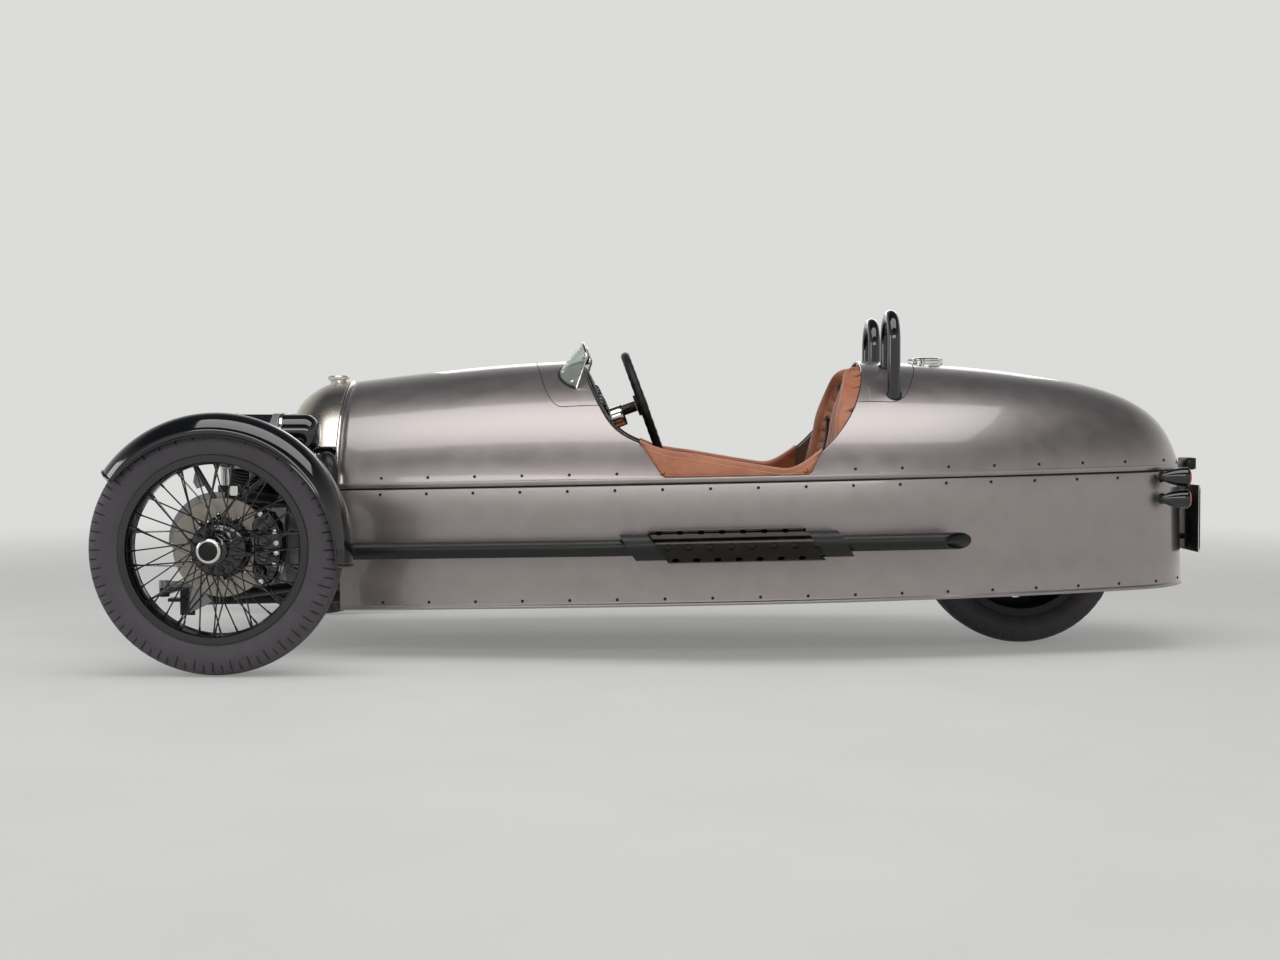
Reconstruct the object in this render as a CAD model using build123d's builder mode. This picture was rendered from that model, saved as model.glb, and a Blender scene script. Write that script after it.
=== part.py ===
"""Open two-seat three-wheeled car: two wire wheels in front, one driven wheel behind.

Millimetres. +X forward, +Y to the left, +Z up, origin under the middle on the ground.
"""
import os
from math import atan2, cos, pi, radians, sin, sqrt

from build123d import *

# Overall size and stance
overall_length = 3215.0
wheelbase = 2325.0
front_track = 1530.0
rake_deg = 1.2
rake_shift = 13.6

# Front wheel
front_tyre_r = 342.0
front_tyre_half = 54.0
front_rim_r = 255.0
front_rim_half = 45.0
front_bed_r = 240.0
rim_wall = 7.0
flange_wall = 3.0
spoke_r = 2.0
spoke_pairs = 14
hub_core_r = 27.0
hub_outer_y = 52.0
hub_outer_r = 40.0
hub_inner_y = -18.0
hub_inner_r = 74.0
hub_flange_t = 8.0
hub_cap_r = 34.0
hub_cap_y = 95.0
axle_r = 15.0

# Brake and upright
disc_y = -69.0
disc_r = 136.0
disc_t = 10.0
king_pin_in = 112.0
lower_ball_z = 205.0
upper_ball_z = 492.0
arm_reach = 175.0
arm_z = 214.0
rack_r = 11.0
rack_housing_r = 21.0

# Mudguard
guard_r = 369.0
guard_half = 76.0
guard_skirt_r = 296.0
guard_wall = 3.5
guard_front_deg = 35.0
guard_rear_deg = 187.0
guard_trim_r = 335.0
guard_trim_drop = 27.0
stay_in = 28.0

# Rear wheel
rear_tyre_r = 302.0
rear_tyre_half = 92.0
rear_rim_r = 217.0
rear_bed_r = 203.0
rear_rim_half = 80.0
rear_hub_r = 62.0
rear_axle_r = 12.5

# Body plan, in the raked body frame
nose_x = 1005.0
nose_half = 395.0
waist_x = -180.0
waist_half = 485.0
stern_x = -1553.0
stern_r = 300.0
wall = 22.0
floor_z = 157.0
floor_t = 8.0
belt_z = 507.0
belt_gap = 5.0
belt_inset = 7.0
lip_out = 4.0
lip_h = 8.0

# Height of the upper body above the belt at each station, nose to stern
body_stations = [
    # x, rise
    (1005.0, 325.0),
    (620.0, 362.0),
    (100.0, 378.0),
    (-580.0, 356.0),
    (-1030.0, 314.0),
]
stern_stations = [
    # x, rise
    (-1030.0, 314.0),
    (-1150.0, 293.0),
    (-1245.0, 273.0),
    (-1325.0, 250.0),
    (-1395.0, 221.0),
    (-1450.0, 187.0),
    (-1492.0, 146.0),
    (-1520.0, 100.0),
    (-1538.0, 55.0),
    (-1549.0, 14.0),
]
cowl_stations = [
    # x, rise, half width
    (1008.0, 325.0, 395.0),
    (1085.0, 318.0, 386.0),
    (1140.0, 288.0, 352.0),
    (1175.0, 246.0, 306.0),
    (1193.0, 205.0, 262.0),
]
cowl_wall = 8.0
cowl_low_z = 634.0
grille_x = 1158.0
grille_pitch = 19.0
grille_bar = 4.0
radiator_x = 1100.0
radiator_t = 46.0

# Cockpit
split_x = -205.0
trim_t = 9.0
fit_gap = 0.4
seat_gap = 0.8
tunnel_half = 62.0
tunnel_z = 330.0
cushion_z = 292.0
wheel_side_y = -215.0
column_tilt_deg = 20.0
steering_wheel_x = 113.0
steering_wheel_z = 745.0
steering_rim_r = 162.0
steering_tube_r = 14.0
wheel_hub_front = 22.0
wheel_hub_l = 36.0
column_r = 17.0
column_sleeve_r = 34.0
sleeve_drop = 14.0

# Screens, hoops, fillers
screen_y = 165.0
screen_x = 356.0
screen_bend_r = 133.0
screen_lean_deg = 39.0
screen_t = 6.0
hoop_x = -631.0
hoop_in_y = 138.0
hoop_out_y = 300.0
hoop_top_z = 1021.0
hoop_r = 19.0
fuel_cap_x = -779.0
fuel_cap_r = 45.0
rad_cap_x = 1060.0
rad_cap_r = 32.0

# Exhaust, in the raked body frame
pipe_r = 24.0
pipe_z = 333.0
pipe_y = 541.0
pipe_front_y = 455.0
pipe_front_x = 1018.6
tip_x = -811.0
silencer_r = 38.5
shield_r = 48.0
shield_wall = 3.0
shield_hole_r = 10.0
shield_pitch = 59.5
slash_deg = 32.0
silencer_front_x = 185.0
silencer_rear_x = -478.0
shield_front_x = 105.0
shield_rear_x = -398.0

# Lamps and plate
headlamp_y = 432.0
headlamp_z = 652.0
headlamp_r = 55.0
headlamp_rear_x = 1044.0
headlamp_l = 114.0
lamp_stalk_x = 1095.0
tail_lamp_r = 28.0
tail_lamp_l = 86.0
tail_lamp_y = 262.0
tail_lamp_x = -1432.0
tail_lamp_low_z = 455.0
tail_lamp_pitch = 66.0
plate_w = 285.0
plate_h = 203.0
plate_t = 3.0
plate_low_z = 288.0
plate_standoff = 34.0

# Engine
engine_x = 1300.0
crank_z = 330.0
vee_deg = 28.0
case_l = 196.0
case_half = 165.0
case_low_z = 182.0
barrel_r = 58.0
fin_r = 82.0
fin_t = 4.0
fin_pitch = 11.0
fin_count = 11
barrel_start = 150.0
head_start = 277.0
head_h = 62.0
rocker_h = 52.0
head_l = 168.0
head_w = 138.0

# Frame tubes
tube_r = 17.0
rail_y = 232.0
upper_rail_z = 470.0
frame_front_x = 1490.0
tow_eye_r = 9.0
tow_eye_out = 26.0
tow_lug_t = 10.0
pivot_x = -640.0
wish_tube_r = 14.0
wish_span = 135.0
coil_r = 38.0
coil_turns = 8

rake = radians(rake_deg)
front_axle_x = overall_length / 2 - front_tyre_r
rear_axle_x = front_axle_x - wheelbase
wheel_y = front_track / 2
king_y = wheel_y - king_pin_in

body_plane = Plane(origin=(-rake_shift, 0, 0), x_dir=(cos(rake), 0, -sin(rake)), z_dir=(sin(rake), 0, cos(rake)))
side_plane = Plane(origin=(-rake_shift, 0, 0), x_dir=(cos(rake), 0, -sin(rake)), z_dir=(0, -1, 0))

waist_rise = waist_half - nose_half
front_side_r = ((nose_x - waist_x) ** 2 + waist_rise ** 2) / (2 * waist_rise)
stern_centre_x = stern_x + stern_r
stern_run = waist_x - stern_centre_x
rear_side_r = (stern_run ** 2 + waist_half ** 2 - stern_r ** 2) / (2 * (waist_half - stern_r))
quarter_cos = -stern_run / (rear_side_r - stern_r)
quarter_sin = (rear_side_r - waist_half) / (rear_side_r - stern_r)


def half_width(x, grow=0.0):
    """Half the body's width at a station, grown outward by so much."""
    if x >= waist_x:
        r = front_side_r + grow
        return waist_half - front_side_r + sqrt(r * r - (x - waist_x) ** 2)
    if x >= stern_centre_x + (stern_r + grow) * quarter_cos:
        r = rear_side_r + grow
        return waist_half - rear_side_r + sqrt(r * r - (x - waist_x) ** 2)
    r = stern_r + grow
    return sqrt(max(r * r - (x - stern_centre_x) ** 2, 1.0))


def body_at(x, y, z):
    """A place given in the raked body frame."""
    return body_plane.from_local_coords(Vector(x, y, z))


def station_plane(x):
    """Upright cross-section of the body at a station: across, then up."""
    return Plane(origin=body_at(x, 0, 0), x_dir=(0, 1, 0), z_dir=body_plane.x_dir)


def half_plan(grow):
    """Face of the left half of the body's plan, for a sketch that is open."""
    quarter_angle = atan2(quarter_sin, quarter_cos)
    mid_angle = (quarter_angle + pi) / 2
    r = stern_r + grow
    nose = (nose_x, half_width(nose_x, grow))
    waist = (waist_x, waist_half + grow)
    quarter = (stern_centre_x + r * quarter_cos, r * quarter_sin)
    front_mid_x = (nose_x + waist_x) / 2
    rear_mid_x = (waist_x + quarter[0]) / 2
    with BuildLine() as outline:
        Polyline((stern_centre_x - r, 0), (nose_x, 0), nose)
        ThreePointArc(nose, (front_mid_x, half_width(front_mid_x, grow)), waist)
        ThreePointArc(waist, (rear_mid_x, half_width(rear_mid_x, grow)), quarter)
        ThreePointArc(quarter, (stern_centre_x + r * cos(mid_angle), r * sin(mid_angle)), (stern_centre_x - r, 0))
    make_face(outline.edges())


def arch_face(half, base, top, drop):
    """Arched cross-section with short straight legs, for a sketch that is open."""
    with BuildLine() as outline:
        ThreePointArc((-half, base), (0, top), (half, base))
        if drop > 0:
            Polyline((half, base), (half, base - drop), (-half, base - drop), (-half, base))
        else:
            Line((half, base), (-half, base))
    make_face(outline.edges())


def body_arch(x, rise, grow, drop):
    """Sketch of the upper body's cross-section at a station, grown outward by so much."""
    lean = min(max((stern_centre_x - x) / stern_r, 0.0), 1.0)
    at = x - grow * lean
    top = belt_z + rise + grow * sqrt(1 - lean * lean)
    with BuildSketch(station_plane(at)) as section:
        arch_face(half_width(at, grow), belt_z + belt_gap, top, drop)
    return section.sketch


def upper_form(grow, drop):
    """Filled shape of the upper body, grown outward by so much."""
    with BuildPart() as form:
        loft([body_arch(x, rise, grow, drop) for x, rise in body_stations])
        loft([body_arch(x, rise, grow, drop) for x, rise in stern_stations], ruled=True)
    return form.part


def side_prism(points, half):
    """Block with this outline in side view, in the raked body frame."""
    with BuildPart() as block:
        with BuildSketch(side_plane):
            with BuildLine():
                Polyline(*points, close=True)
            make_face()
        extrude(amount=half, both=True)
    return block.part


def dome_mid(rim, rise):
    """Half-way point of a round dome's outline: how far up, how far out."""
    r = (rim * rim + rise * rise) / (2 * rise)
    half = atan2(rim, r - rise) / 2
    return rise - r + r * cos(half), r * sin(half)


def between(start, end):
    """Plane at the middle of two points, its normal along them."""
    a = Vector(*start)
    b = Vector(*end)
    return Plane(origin=(a + b) * 0.5, z_dir=(b - a))


def span(start, end):
    return (Vector(*end) - Vector(*start)).length


def rod(start, end, r):
    """Round bar from one point to the other, added to the open part."""
    with Locations(between(start, end).location):
        Cylinder(r, span(start, end))


os.makedirs("parts", exist_ok=True)


def keep(builder, name):
    """Names a finished piece and writes it."""
    builder.part.label = name
    export_step(builder.part, "parts/" + name + ".step")


# Body shells
outer_form = upper_form(0.0, 0.0)
inner_form = upper_form(-wall, 12.0)
fit_out_form = upper_form(fit_gap, 0.0)
fit_in_form = upper_form(-wall - fit_gap, 12.0)
trim_out_form = upper_form(trim_t, 0.0)
trim_in_form = upper_form(-wall - trim_t, 12.0)
lining_form = upper_form(-wall - trim_t - seat_gap, 330.0)

# Side view of the opening: scuttle edge, cockpit side, front edge of the tail deck
scuttle_edge = [(312.0, 910.0), (233.0, 727.0), (199.0, 676.0), (165.0, 648.0), (124.0, 627.0)]
cockpit_side = [(61.0, 601.0), (-295.0, 534.0), (-358.0, 559.0), (-402.0, 590.0)]
deck_edge = [(-476.0, 667.0), (-517.0, 731.0), (-543.0, 793.0), (-556.0, 832.0), (-560.0, 910.0)]
opening_block = side_prism(scuttle_edge + cockpit_side + deck_edge, 700.0)

with BuildPart() as shell:
    add(outer_form)
    add(inner_form, mode=Mode.SUBTRACT)
    add(opening_block, mode=Mode.SUBTRACT)

with BuildPart() as bonnet:
    add(shell.part)
    split(bisect_by=station_plane(split_x), keep=Keep.TOP)
keep(bonnet, "bonnet")

with BuildPart() as tail_deck:
    add(shell.part)
    split(bisect_by=station_plane(split_x), keep=Keep.BOTTOM)
keep(tail_deck, "tail_deck")

with BuildPart() as body_side_left:
    with BuildSketch(body_plane.offset(floor_z)):
        half_plan(0.0)
    extrude(amount=belt_z - floor_z)
    with BuildSketch(body_plane.offset(floor_z)):
        half_plan(lip_out)
    extrude(amount=lip_h)
    with BuildSketch(body_plane.offset(floor_z)):
        half_plan(-wall)
    extrude(amount=belt_z - floor_z, mode=Mode.SUBTRACT)
keep(body_side_left, "body_side_left")

with BuildPart() as body_side_right:
    mirror(body_side_left.part, about=Plane.XZ)
keep(body_side_right, "body_side_right")

with BuildPart() as belt_rail:
    with BuildSketch(body_plane.offset(belt_z)):
        half_plan(-belt_inset)
    extrude(amount=belt_gap)
    with BuildSketch(body_plane.offset(belt_z)):
        half_plan(-wall)
    extrude(amount=belt_gap, mode=Mode.SUBTRACT)
    mirror(about=Plane.XZ)
keep(belt_rail, "belt_rail")

rail_z = floor_z + floor_t + tube_r + fit_gap
seat_low_z = rail_z + tube_r + fit_gap

with BuildPart() as floor_pan:
    with BuildSketch(body_plane.offset(floor_z)):
        half_plan(-wall - fit_gap)
    extrude(amount=floor_t)
    mirror(about=Plane.XZ)
    with BuildSketch(body_plane.offset(floor_z)):
        with Locations((rear_axle_x, 0)):
            Rectangle(2 * rear_tyre_r + 60, 2 * rear_tyre_half + 60)
    extrude(amount=floor_t, mode=Mode.SUBTRACT)
    with BuildSketch(body_plane.offset(floor_z + floor_t)):
        with Locations((320.0, 0)):
            Rectangle(1320.0, 2 * tunnel_half)
    extrude(amount=tunnel_z - floor_z - floor_t)
    rod(body_at(150, 0, tunnel_z - 10), body_at(128, 0, tunnel_z + 118), 7.0)
    with Locations(body_at(126, 0, tunnel_z + 132)):
        Sphere(22.0)
keep(floor_pan, "floor_pan")

with BuildPart() as front_bulkhead:
    with BuildSketch(station_plane(nose_x - 14.0)):
        with Locations((0, belt_z + 200.0)):
            Rectangle(1200.0, 500.0)
    extrude(amount=12.0)
    add(fit_in_form, mode=Mode.INTERSECT)
    with BuildSketch(station_plane(nose_x - 14.0)):
        half = half_width(nose_x, -wall) - 2.0
        with Locations((0, (floor_z + floor_t + belt_z) / 2 + fit_gap)):
            Rectangle(2 * half, belt_z - floor_z - floor_t - 2 * fit_gap)
        with Locations((rail_y, rail_z), (-rail_y, rail_z)):
            Circle(tube_r + fit_gap, mode=Mode.SUBTRACT)
    extrude(amount=12.0)
keep(front_bulkhead, "front_bulkhead")

# Radiator cowl and what it covers
cowl_base = belt_z + belt_gap


def cowl_shape(grow, low, start, stop):
    """Filled cowl between two stations and above a height, grown outward by so much."""
    with BuildPart() as form:
        for x, rise, half in cowl_stations:
            with BuildSketch(station_plane(x)):
                arch_face(half + grow, cowl_base, belt_z + rise + grow, 0.5)
        loft()
        with BuildSketch(station_plane(start)):
            with Locations((0, low + 300.0)):
                Rectangle(1200.0, 600.0)
        extrude(amount=stop - start, mode=Mode.INTERSECT)
    return form.part


cowl_first_x = cowl_stations[0][0]
cowl_last_x = cowl_stations[-1][0]
cowl_outer = cowl_shape(0.0, cowl_low_z, cowl_first_x, cowl_last_x)
cowl_inner = cowl_shape(-cowl_wall, cowl_low_z + cowl_wall, cowl_first_x - 1, cowl_last_x + 1)

with BuildPart() as radiator_cowl:
    add(cowl_outer)
    with BuildSketch(station_plane(nose_x + fit_gap)):
        arch_face(nose_half + 4.0, cowl_base - 0.5, belt_z + cowl_stations[0][1] + 4.0, 0.5)
    extrude(amount=7.0)
    add(cowl_inner, mode=Mode.SUBTRACT)
    with BuildSketch(station_plane(nose_x - 1)):
        arch_face(nose_half - 30.0, cowl_base + 20.0, belt_z + cowl_stations[0][1] - 30.0, 0.5)
    extrude(amount=20.0, mode=Mode.SUBTRACT)
keep(radiator_cowl, "radiator_cowl")

core_low_z = cowl_low_z + cowl_wall + fit_gap
grille_form = cowl_shape(-cowl_wall - fit_gap, core_low_z, grille_x, grille_x + 10.0)
with BuildPart() as radiator_grille:
    with BuildSketch(station_plane(grille_x)):
        with Locations((0, cowl_base + 150)):
            with GridLocations(grille_pitch, 0, 35, 1):
                Rectangle(grille_bar, 400.0)
            with GridLocations(0, 46.0, 1, 9):
                Rectangle(800.0, grille_bar)
    extrude(amount=6.0)
    add(grille_form, mode=Mode.INTERSECT)
keep(radiator_grille, "radiator_grille")

with BuildPart() as radiator_core:
    add(cowl_shape(-cowl_wall - fit_gap, core_low_z, radiator_x, radiator_x + radiator_t))
keep(radiator_core, "radiator_core")

cowl_skin = cowl_shape(fit_gap, cowl_low_z, cowl_first_x, cowl_last_x)
with BuildPart() as filler_caps:
    with Locations(body_at(rad_cap_x, 0, 815.0)):
        Cylinder(rad_cap_r - 6.0, 60.0)
    with Locations(body_at(rad_cap_x, 0, 847.0)):
        Cylinder(rad_cap_r, 9.0)
    with Locations(body_at(fuel_cap_x, 0, 838.0)):
        Cylinder(fuel_cap_r + 3.0, 26.0)
    with Locations(body_at(fuel_cap_x, 0, 858.0)):
        Cylinder(fuel_cap_r - 4.0, 16.0)
    with Locations(body_at(fuel_cap_x - 34.0, 0, 868.0)):
        Box(46.0, 20.0, 9.0)
    add(cowl_skin, mode=Mode.SUBTRACT)
    add(fit_out_form, mode=Mode.SUBTRACT)
keep(filler_caps, "filler_caps")

# Cockpit
trim_outline = [
    # side view: bottom edge, then back along the top
    (124.0, 634.0), (66.0, 540.0), (52.0, 524.0), (-353.0, 522.0), (-370.0, 532.0), (-405.0, 600.0),
    (-358.0, 569.0), (-298.0, 544.0), (61.0, 611.0),
]
with BuildPart() as body_edge:
    add(fit_out_form)
    add(fit_in_form, mode=Mode.SUBTRACT)
    add(opening_block, mode=Mode.SUBTRACT)

with BuildPart() as cockpit_trim:
    add(trim_out_form)
    add(trim_in_form, mode=Mode.SUBTRACT)
    add(side_prism(trim_outline, 700.0), mode=Mode.INTERSECT)
    add(body_edge.part, mode=Mode.SUBTRACT)
keep(cockpit_trim, "cockpit_trim")

seat_back_outline = [
    (-395.0, seat_low_z), (-420.0, 500.0), (-430.0, 590.0), (-450.0, 660.0), (-470.0, 738.0), (-500.0, 796.0),
    (-530.0, 831.0), (-560.0, 850.0), (-585.0, 850.0), (-530.0, seat_low_z),
]
with BuildPart() as seat_backs:
    add(side_prism(seat_back_outline, 700.0))
    add(lining_form, mode=Mode.INTERSECT)
    with Locations(body_at(-450.0, 0, 500.0)):
        Box(600.0, 8.0, 900.0, mode=Mode.SUBTRACT)
keep(seat_backs, "seat_backs")

cushion_outline = [
    (150.0, seat_low_z), (156.0, 258.0), (132.0, cushion_z + 4), (-386.0, cushion_z - 38), (-394.4, seat_low_z),
]
with BuildPart() as seat_cushions:
    add(side_prism(cushion_outline, 440.0))
    with Locations(body_at(-100.0, 0, 250.0)):
        Box(600.0, 2 * (tunnel_half + 3.0), 400.0, mode=Mode.SUBTRACT)
keep(seat_cushions, "seat_cushions")

tilt = radians(column_tilt_deg)
wheel_middle = Vector(steering_wheel_x, wheel_side_y, steering_wheel_z)
column_dir = Vector(cos(tilt), 0, -sin(tilt))
sleeve_middle = wheel_middle + column_dir * 136.0 - Vector(0, 0, sleeve_drop)

with BuildPart() as dashboard:
    add(side_prism([(179.0, 620.0), (281.0, 858.0), (309.0, 858.0), (207.0, 620.0)], 700.0))
    add(upper_form(-wall - fit_gap, 12.0), mode=Mode.INTERSECT)
    with Locations(Plane(origin=sleeve_middle, z_dir=column_dir).location):
        Cylinder(column_sleeve_r + fit_gap, 400.0, mode=Mode.SUBTRACT)
keep(dashboard, "dashboard")

with BuildPart() as steering_column:
    rod(wheel_middle + column_dir * (wheel_hub_front + fit_gap), wheel_middle + column_dir * 560.0, column_r)
    rod(sleeve_middle - column_dir * 74.0, sleeve_middle + column_dir * 74.0, column_sleeve_r)
keep(steering_column, "steering_column")

with BuildPart() as steering_wheel:
    with Locations(Plane(origin=wheel_middle, x_dir=(0, 1, 0), z_dir=column_dir).location):
        Torus(steering_rim_r, steering_tube_r)
        with Locations((0, 0, wheel_hub_front - wheel_hub_l / 2)):
            Cylinder(36.0, wheel_hub_l)
        with PolarLocations(0, 3, start_angle=-90.0):
            with Locations((steering_rim_r / 2, 0, 2.0)):
                Box(steering_rim_r, 24.0, 5.0)
keep(steering_wheel, "steering_wheel")

# Screens, hoops
lean = radians(screen_lean_deg)
screen_axis = Vector(-sin(lean), 0, cos(lean))
screen_outline = [(450.0, 750.0), (350.0, 975.0), (297.0, 955.0), (276.0, 890.0), (312.0, 780.0), (330.0, 750.0)]
with BuildPart() as windscreens:
    foot = body_at(screen_x, screen_y, 853.0) - Vector(screen_bend_r / cos(lean), 0, 0)
    with Locations(Plane(origin=foot, x_dir=(0, 1, 0), z_dir=screen_axis).location):
        Cylinder(screen_bend_r, 420.0)
        Cylinder(screen_bend_r - screen_t, 420.0, mode=Mode.SUBTRACT)
    add(side_prism(screen_outline, 700.0), mode=Mode.INTERSECT)
    add(fit_out_form, mode=Mode.SUBTRACT)
    mirror(about=Plane.XZ)
keep(windscreens, "windscreens")

with BuildPart() as roll_hoops:
    hoop_half = (hoop_out_y - hoop_in_y) / 2
    bend_z = hoop_top_z - hoop_r - hoop_half
    with BuildLine() as hoop_path:
        Line((hoop_x, hoop_in_y, 700.0), (hoop_x, hoop_in_y, bend_z))
        ThreePointArc((hoop_x, hoop_in_y, bend_z), (hoop_x, hoop_in_y + hoop_half, bend_z + hoop_half),
                      (hoop_x, hoop_out_y, bend_z))
        Line((hoop_x, hoop_out_y, bend_z), (hoop_x, hoop_out_y, 700.0))
    with BuildSketch(Plane(origin=(hoop_x, hoop_in_y, 700.0), z_dir=(0, 0, 1))):
        Circle(hoop_r)
    sweep(path=hoop_path.wire())
    add(fit_out_form, mode=Mode.SUBTRACT)
    mirror(about=Plane.XZ)
keep(roll_hoops, "roll_hoops")

# Engine: crank fore and aft, two cylinders spread to the sides
vee = radians(vee_deg)
case_rear_x = engine_x - case_l / 2
deck_half = 75.0
deck_out = (barrel_start * sin(vee) + deck_half * cos(vee), crank_z + barrel_start * cos(vee) - deck_half * sin(vee))
deck_in = (barrel_start * sin(vee) - deck_half * cos(vee), crank_z + barrel_start * cos(vee) + deck_half * sin(vee))
rail_top_z = body_at(engine_x, 0, rail_z + tube_r).Z + fit_gap


def mirrored(points):
    """Right-hand outline continued down the left-hand side."""
    return points + [(-y, z) for y, z in reversed(points)]


with BuildPart() as engine_block:
    with BuildSketch(Plane.YZ.offset(case_rear_x)):
        with BuildLine():
            Polyline(*mirrored([(118.0, case_low_z), (case_half, case_low_z + 46.0), (case_half, crank_z + 50.0),
                                deck_out, deck_in]), close=True)
        make_face()
    extrude(amount=case_l)
    with Locations(Plane(origin=(case_rear_x + case_l + 9.0, 0, crank_z + 6.0), z_dir=(1, 0, 0)).location):
        Cylinder(92.0, 18.0)
        with Locations((0, 0, 14.0)):
            Cylinder(66.0, 12.0)
    with Locations(Plane(origin=(case_rear_x + case_l + 6.0, 0, crank_z + 112.0), z_dir=(1, 0, 0)).location):
        Cylinder(48.0, 12.0)
    rod((case_rear_x, 0, crank_z), (nose_x + 12.0, 0, crank_z), 118.0)
    with Locations((engine_x, 0, rail_top_z + 21.0)):
        with GridLocations(110.0, 2 * (rail_y - 50.0), 2, 2):
            Box(36.0, 124.0, 38.0)
keep(engine_block, "engine_block")


def vee_plane(side, along):
    """Plane square to one cylinder, so far out from the crank; side is +1 left, -1 right."""
    out = Vector(0, side * sin(vee), cos(vee))
    return Plane(origin=Vector(engine_x, 0, crank_z) + out * along, x_dir=(1, 0, 0), z_dir=out)


def fin_outline():
    """Half section of a finned barrel, radius first, from its foot."""
    points = [(0.0, fit_gap), (barrel_r, fit_gap)]
    for i in range(fin_count):
        low = 6.0 + i * fin_pitch
        points += [(barrel_r, low), (fin_r, low), (fin_r, low + fin_t), (barrel_r, low + fin_t)]
    top = head_start - barrel_start - fit_gap
    return points + [(barrel_r, top), (0.0, top)]


with BuildPart() as engine_cylinders:
    for side in (1, -1):
        base = vee_plane(side, barrel_start)
        with BuildSketch(Plane(origin=base.origin, x_dir=(1, 0, 0), z_dir=base.x_dir.cross(base.z_dir))):
            with BuildLine():
                Polyline(*fin_outline(), close=True)
            make_face()
        revolve(axis=Axis(base.origin, base.z_dir))
keep(engine_cylinders, "engine_cylinders")

with BuildPart() as engine_heads:
    for side in (1, -1):
        base = vee_plane(side, head_start)
        with Locations(base.location):
            with Locations((0, 0, head_h / 2)):
                Box(head_l, head_w, head_h)
            for i in range(4):
                with Locations((0, 0, 9.0 + i * 13.0)):
                    Box(head_l + 24.0, head_w + 24.0, 5.0)
            with Locations((0, 0, head_h + rocker_h / 2)):
                Box(head_l - 6.0, head_w - 14.0, rocker_h)
            with Locations((0, 0, head_h + 4.0)):
                Box(head_l + 4.0, head_w - 2.0, 8.0)
keep(engine_heads, "engine_heads")

plenum_z = crank_z + 330.0
with BuildPart() as engine_intake:
    rod((engine_x - 70.0, 0, plenum_z), (engine_x + 76.0, 0, plenum_z), 48.0)
    rod((engine_x + 76.0, 0, plenum_z), (engine_x + 128.0, 0, plenum_z), 66.0)
    for side in (1, -1):
        inner = vee_plane(side, head_start + head_h / 2)
        face = inner.origin
        across = Vector(0, -side * cos(vee), sin(vee))
        rod(face + across * (head_w / 2 + 12.0 + fit_gap), face + across * (head_w / 2 + 62.0), 22.0)
keep(engine_intake, "engine_intake")

# Exhaust, left side first
port = vee_plane(1, head_start + head_h / 2).origin + Vector(-60.0, 0, 0)
port_out = Vector(0, cos(vee), -sin(vee))
port_start = port + port_out * (head_w / 2 + 12.0 + fit_gap)
pipe_run = [
    port_start,
    port_start + port_out * 70.0,
    Vector(1080.0, 300.0, 560.0),
    Vector(1012.0, pipe_front_y, 580.0),
    body_at(pipe_front_x, pipe_front_y, pipe_z),
    body_at(silencer_front_x + 75.0, pipe_y, pipe_z),
    body_at(tip_x, pipe_y, pipe_z),
]
with BuildPart() as exhaust_pipes:
    with BuildLine() as pipe_path:
        FilletPolyline(*pipe_run, radius=40.0)
    with BuildSketch(Plane(origin=pipe_path.wire() @ 0, z_dir=pipe_path.wire() % 0)):
        Circle(pipe_r)
    sweep(path=pipe_path.wire())
    rod(body_at(tip_x - 5.0, pipe_y, pipe_z), body_at(tip_x + 190.0, pipe_y, pipe_z), pipe_r)
    with Locations(between(body_at(tip_x - 20.0, pipe_y, pipe_z), body_at(tip_x + 180.0, pipe_y, pipe_z)).location):
        Cylinder(pipe_r - 3.0, 200.0, mode=Mode.SUBTRACT)
    with BuildSketch(body_plane.offset(pipe_z - 60.0)):
        with BuildLine():
            Polyline((tip_x + 84.0, pipe_y + pipe_r + 2.0), (tip_x - 8.0, pipe_y - pipe_r - 2.0),
                     (tip_x - 90.0, pipe_y - pipe_r - 2.0), (tip_x - 90.0, pipe_y + pipe_r + 2.0), close=True)
        make_face()
    extrude(amount=120.0, mode=Mode.SUBTRACT)
    for x in (620.0, -560.0):
        along = (x - (silencer_front_x + 75.0)) / (pipe_front_x - silencer_front_x - 75.0)
        y = pipe_y + max(along, 0.0) * (pipe_front_y - pipe_y)
        rod(body_at(x, half_width(x) + 3 * fit_gap, pipe_z), body_at(x, y, pipe_z), 8.0)
    mirror(about=Plane.XZ)
keep(exhaust_pipes, "exhaust_pipes")


def slanted(front, rear, r):
    """Side view of a sleeve whose ends lean, top forward."""
    lean_x = r * sin(radians(slash_deg)) / cos(radians(slash_deg))
    top = pipe_z + r + 1.0
    low = pipe_z - r - 1.0
    return [(front + lean_x, top), (rear + lean_x, top), (rear - lean_x, low), (front - lean_x, low)]


sleeve_front = body_at(silencer_front_x + 60.0, pipe_y, pipe_z)
sleeve_rear = body_at(silencer_rear_x - 60.0, pipe_y, pipe_z)
with BuildPart() as silencers:
    with Locations(between(sleeve_front, sleeve_rear).location):
        Cylinder(silencer_r, span(sleeve_front, sleeve_rear))
        Cylinder(pipe_r + fit_gap, span(sleeve_front, sleeve_rear), mode=Mode.SUBTRACT)
    add(side_prism(slanted(silencer_front_x - 23.0, silencer_rear_x + 23.0, silencer_r), 700.0), mode=Mode.INTERSECT)
    mirror(about=Plane.XZ)
keep(silencers, "silencers")

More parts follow.
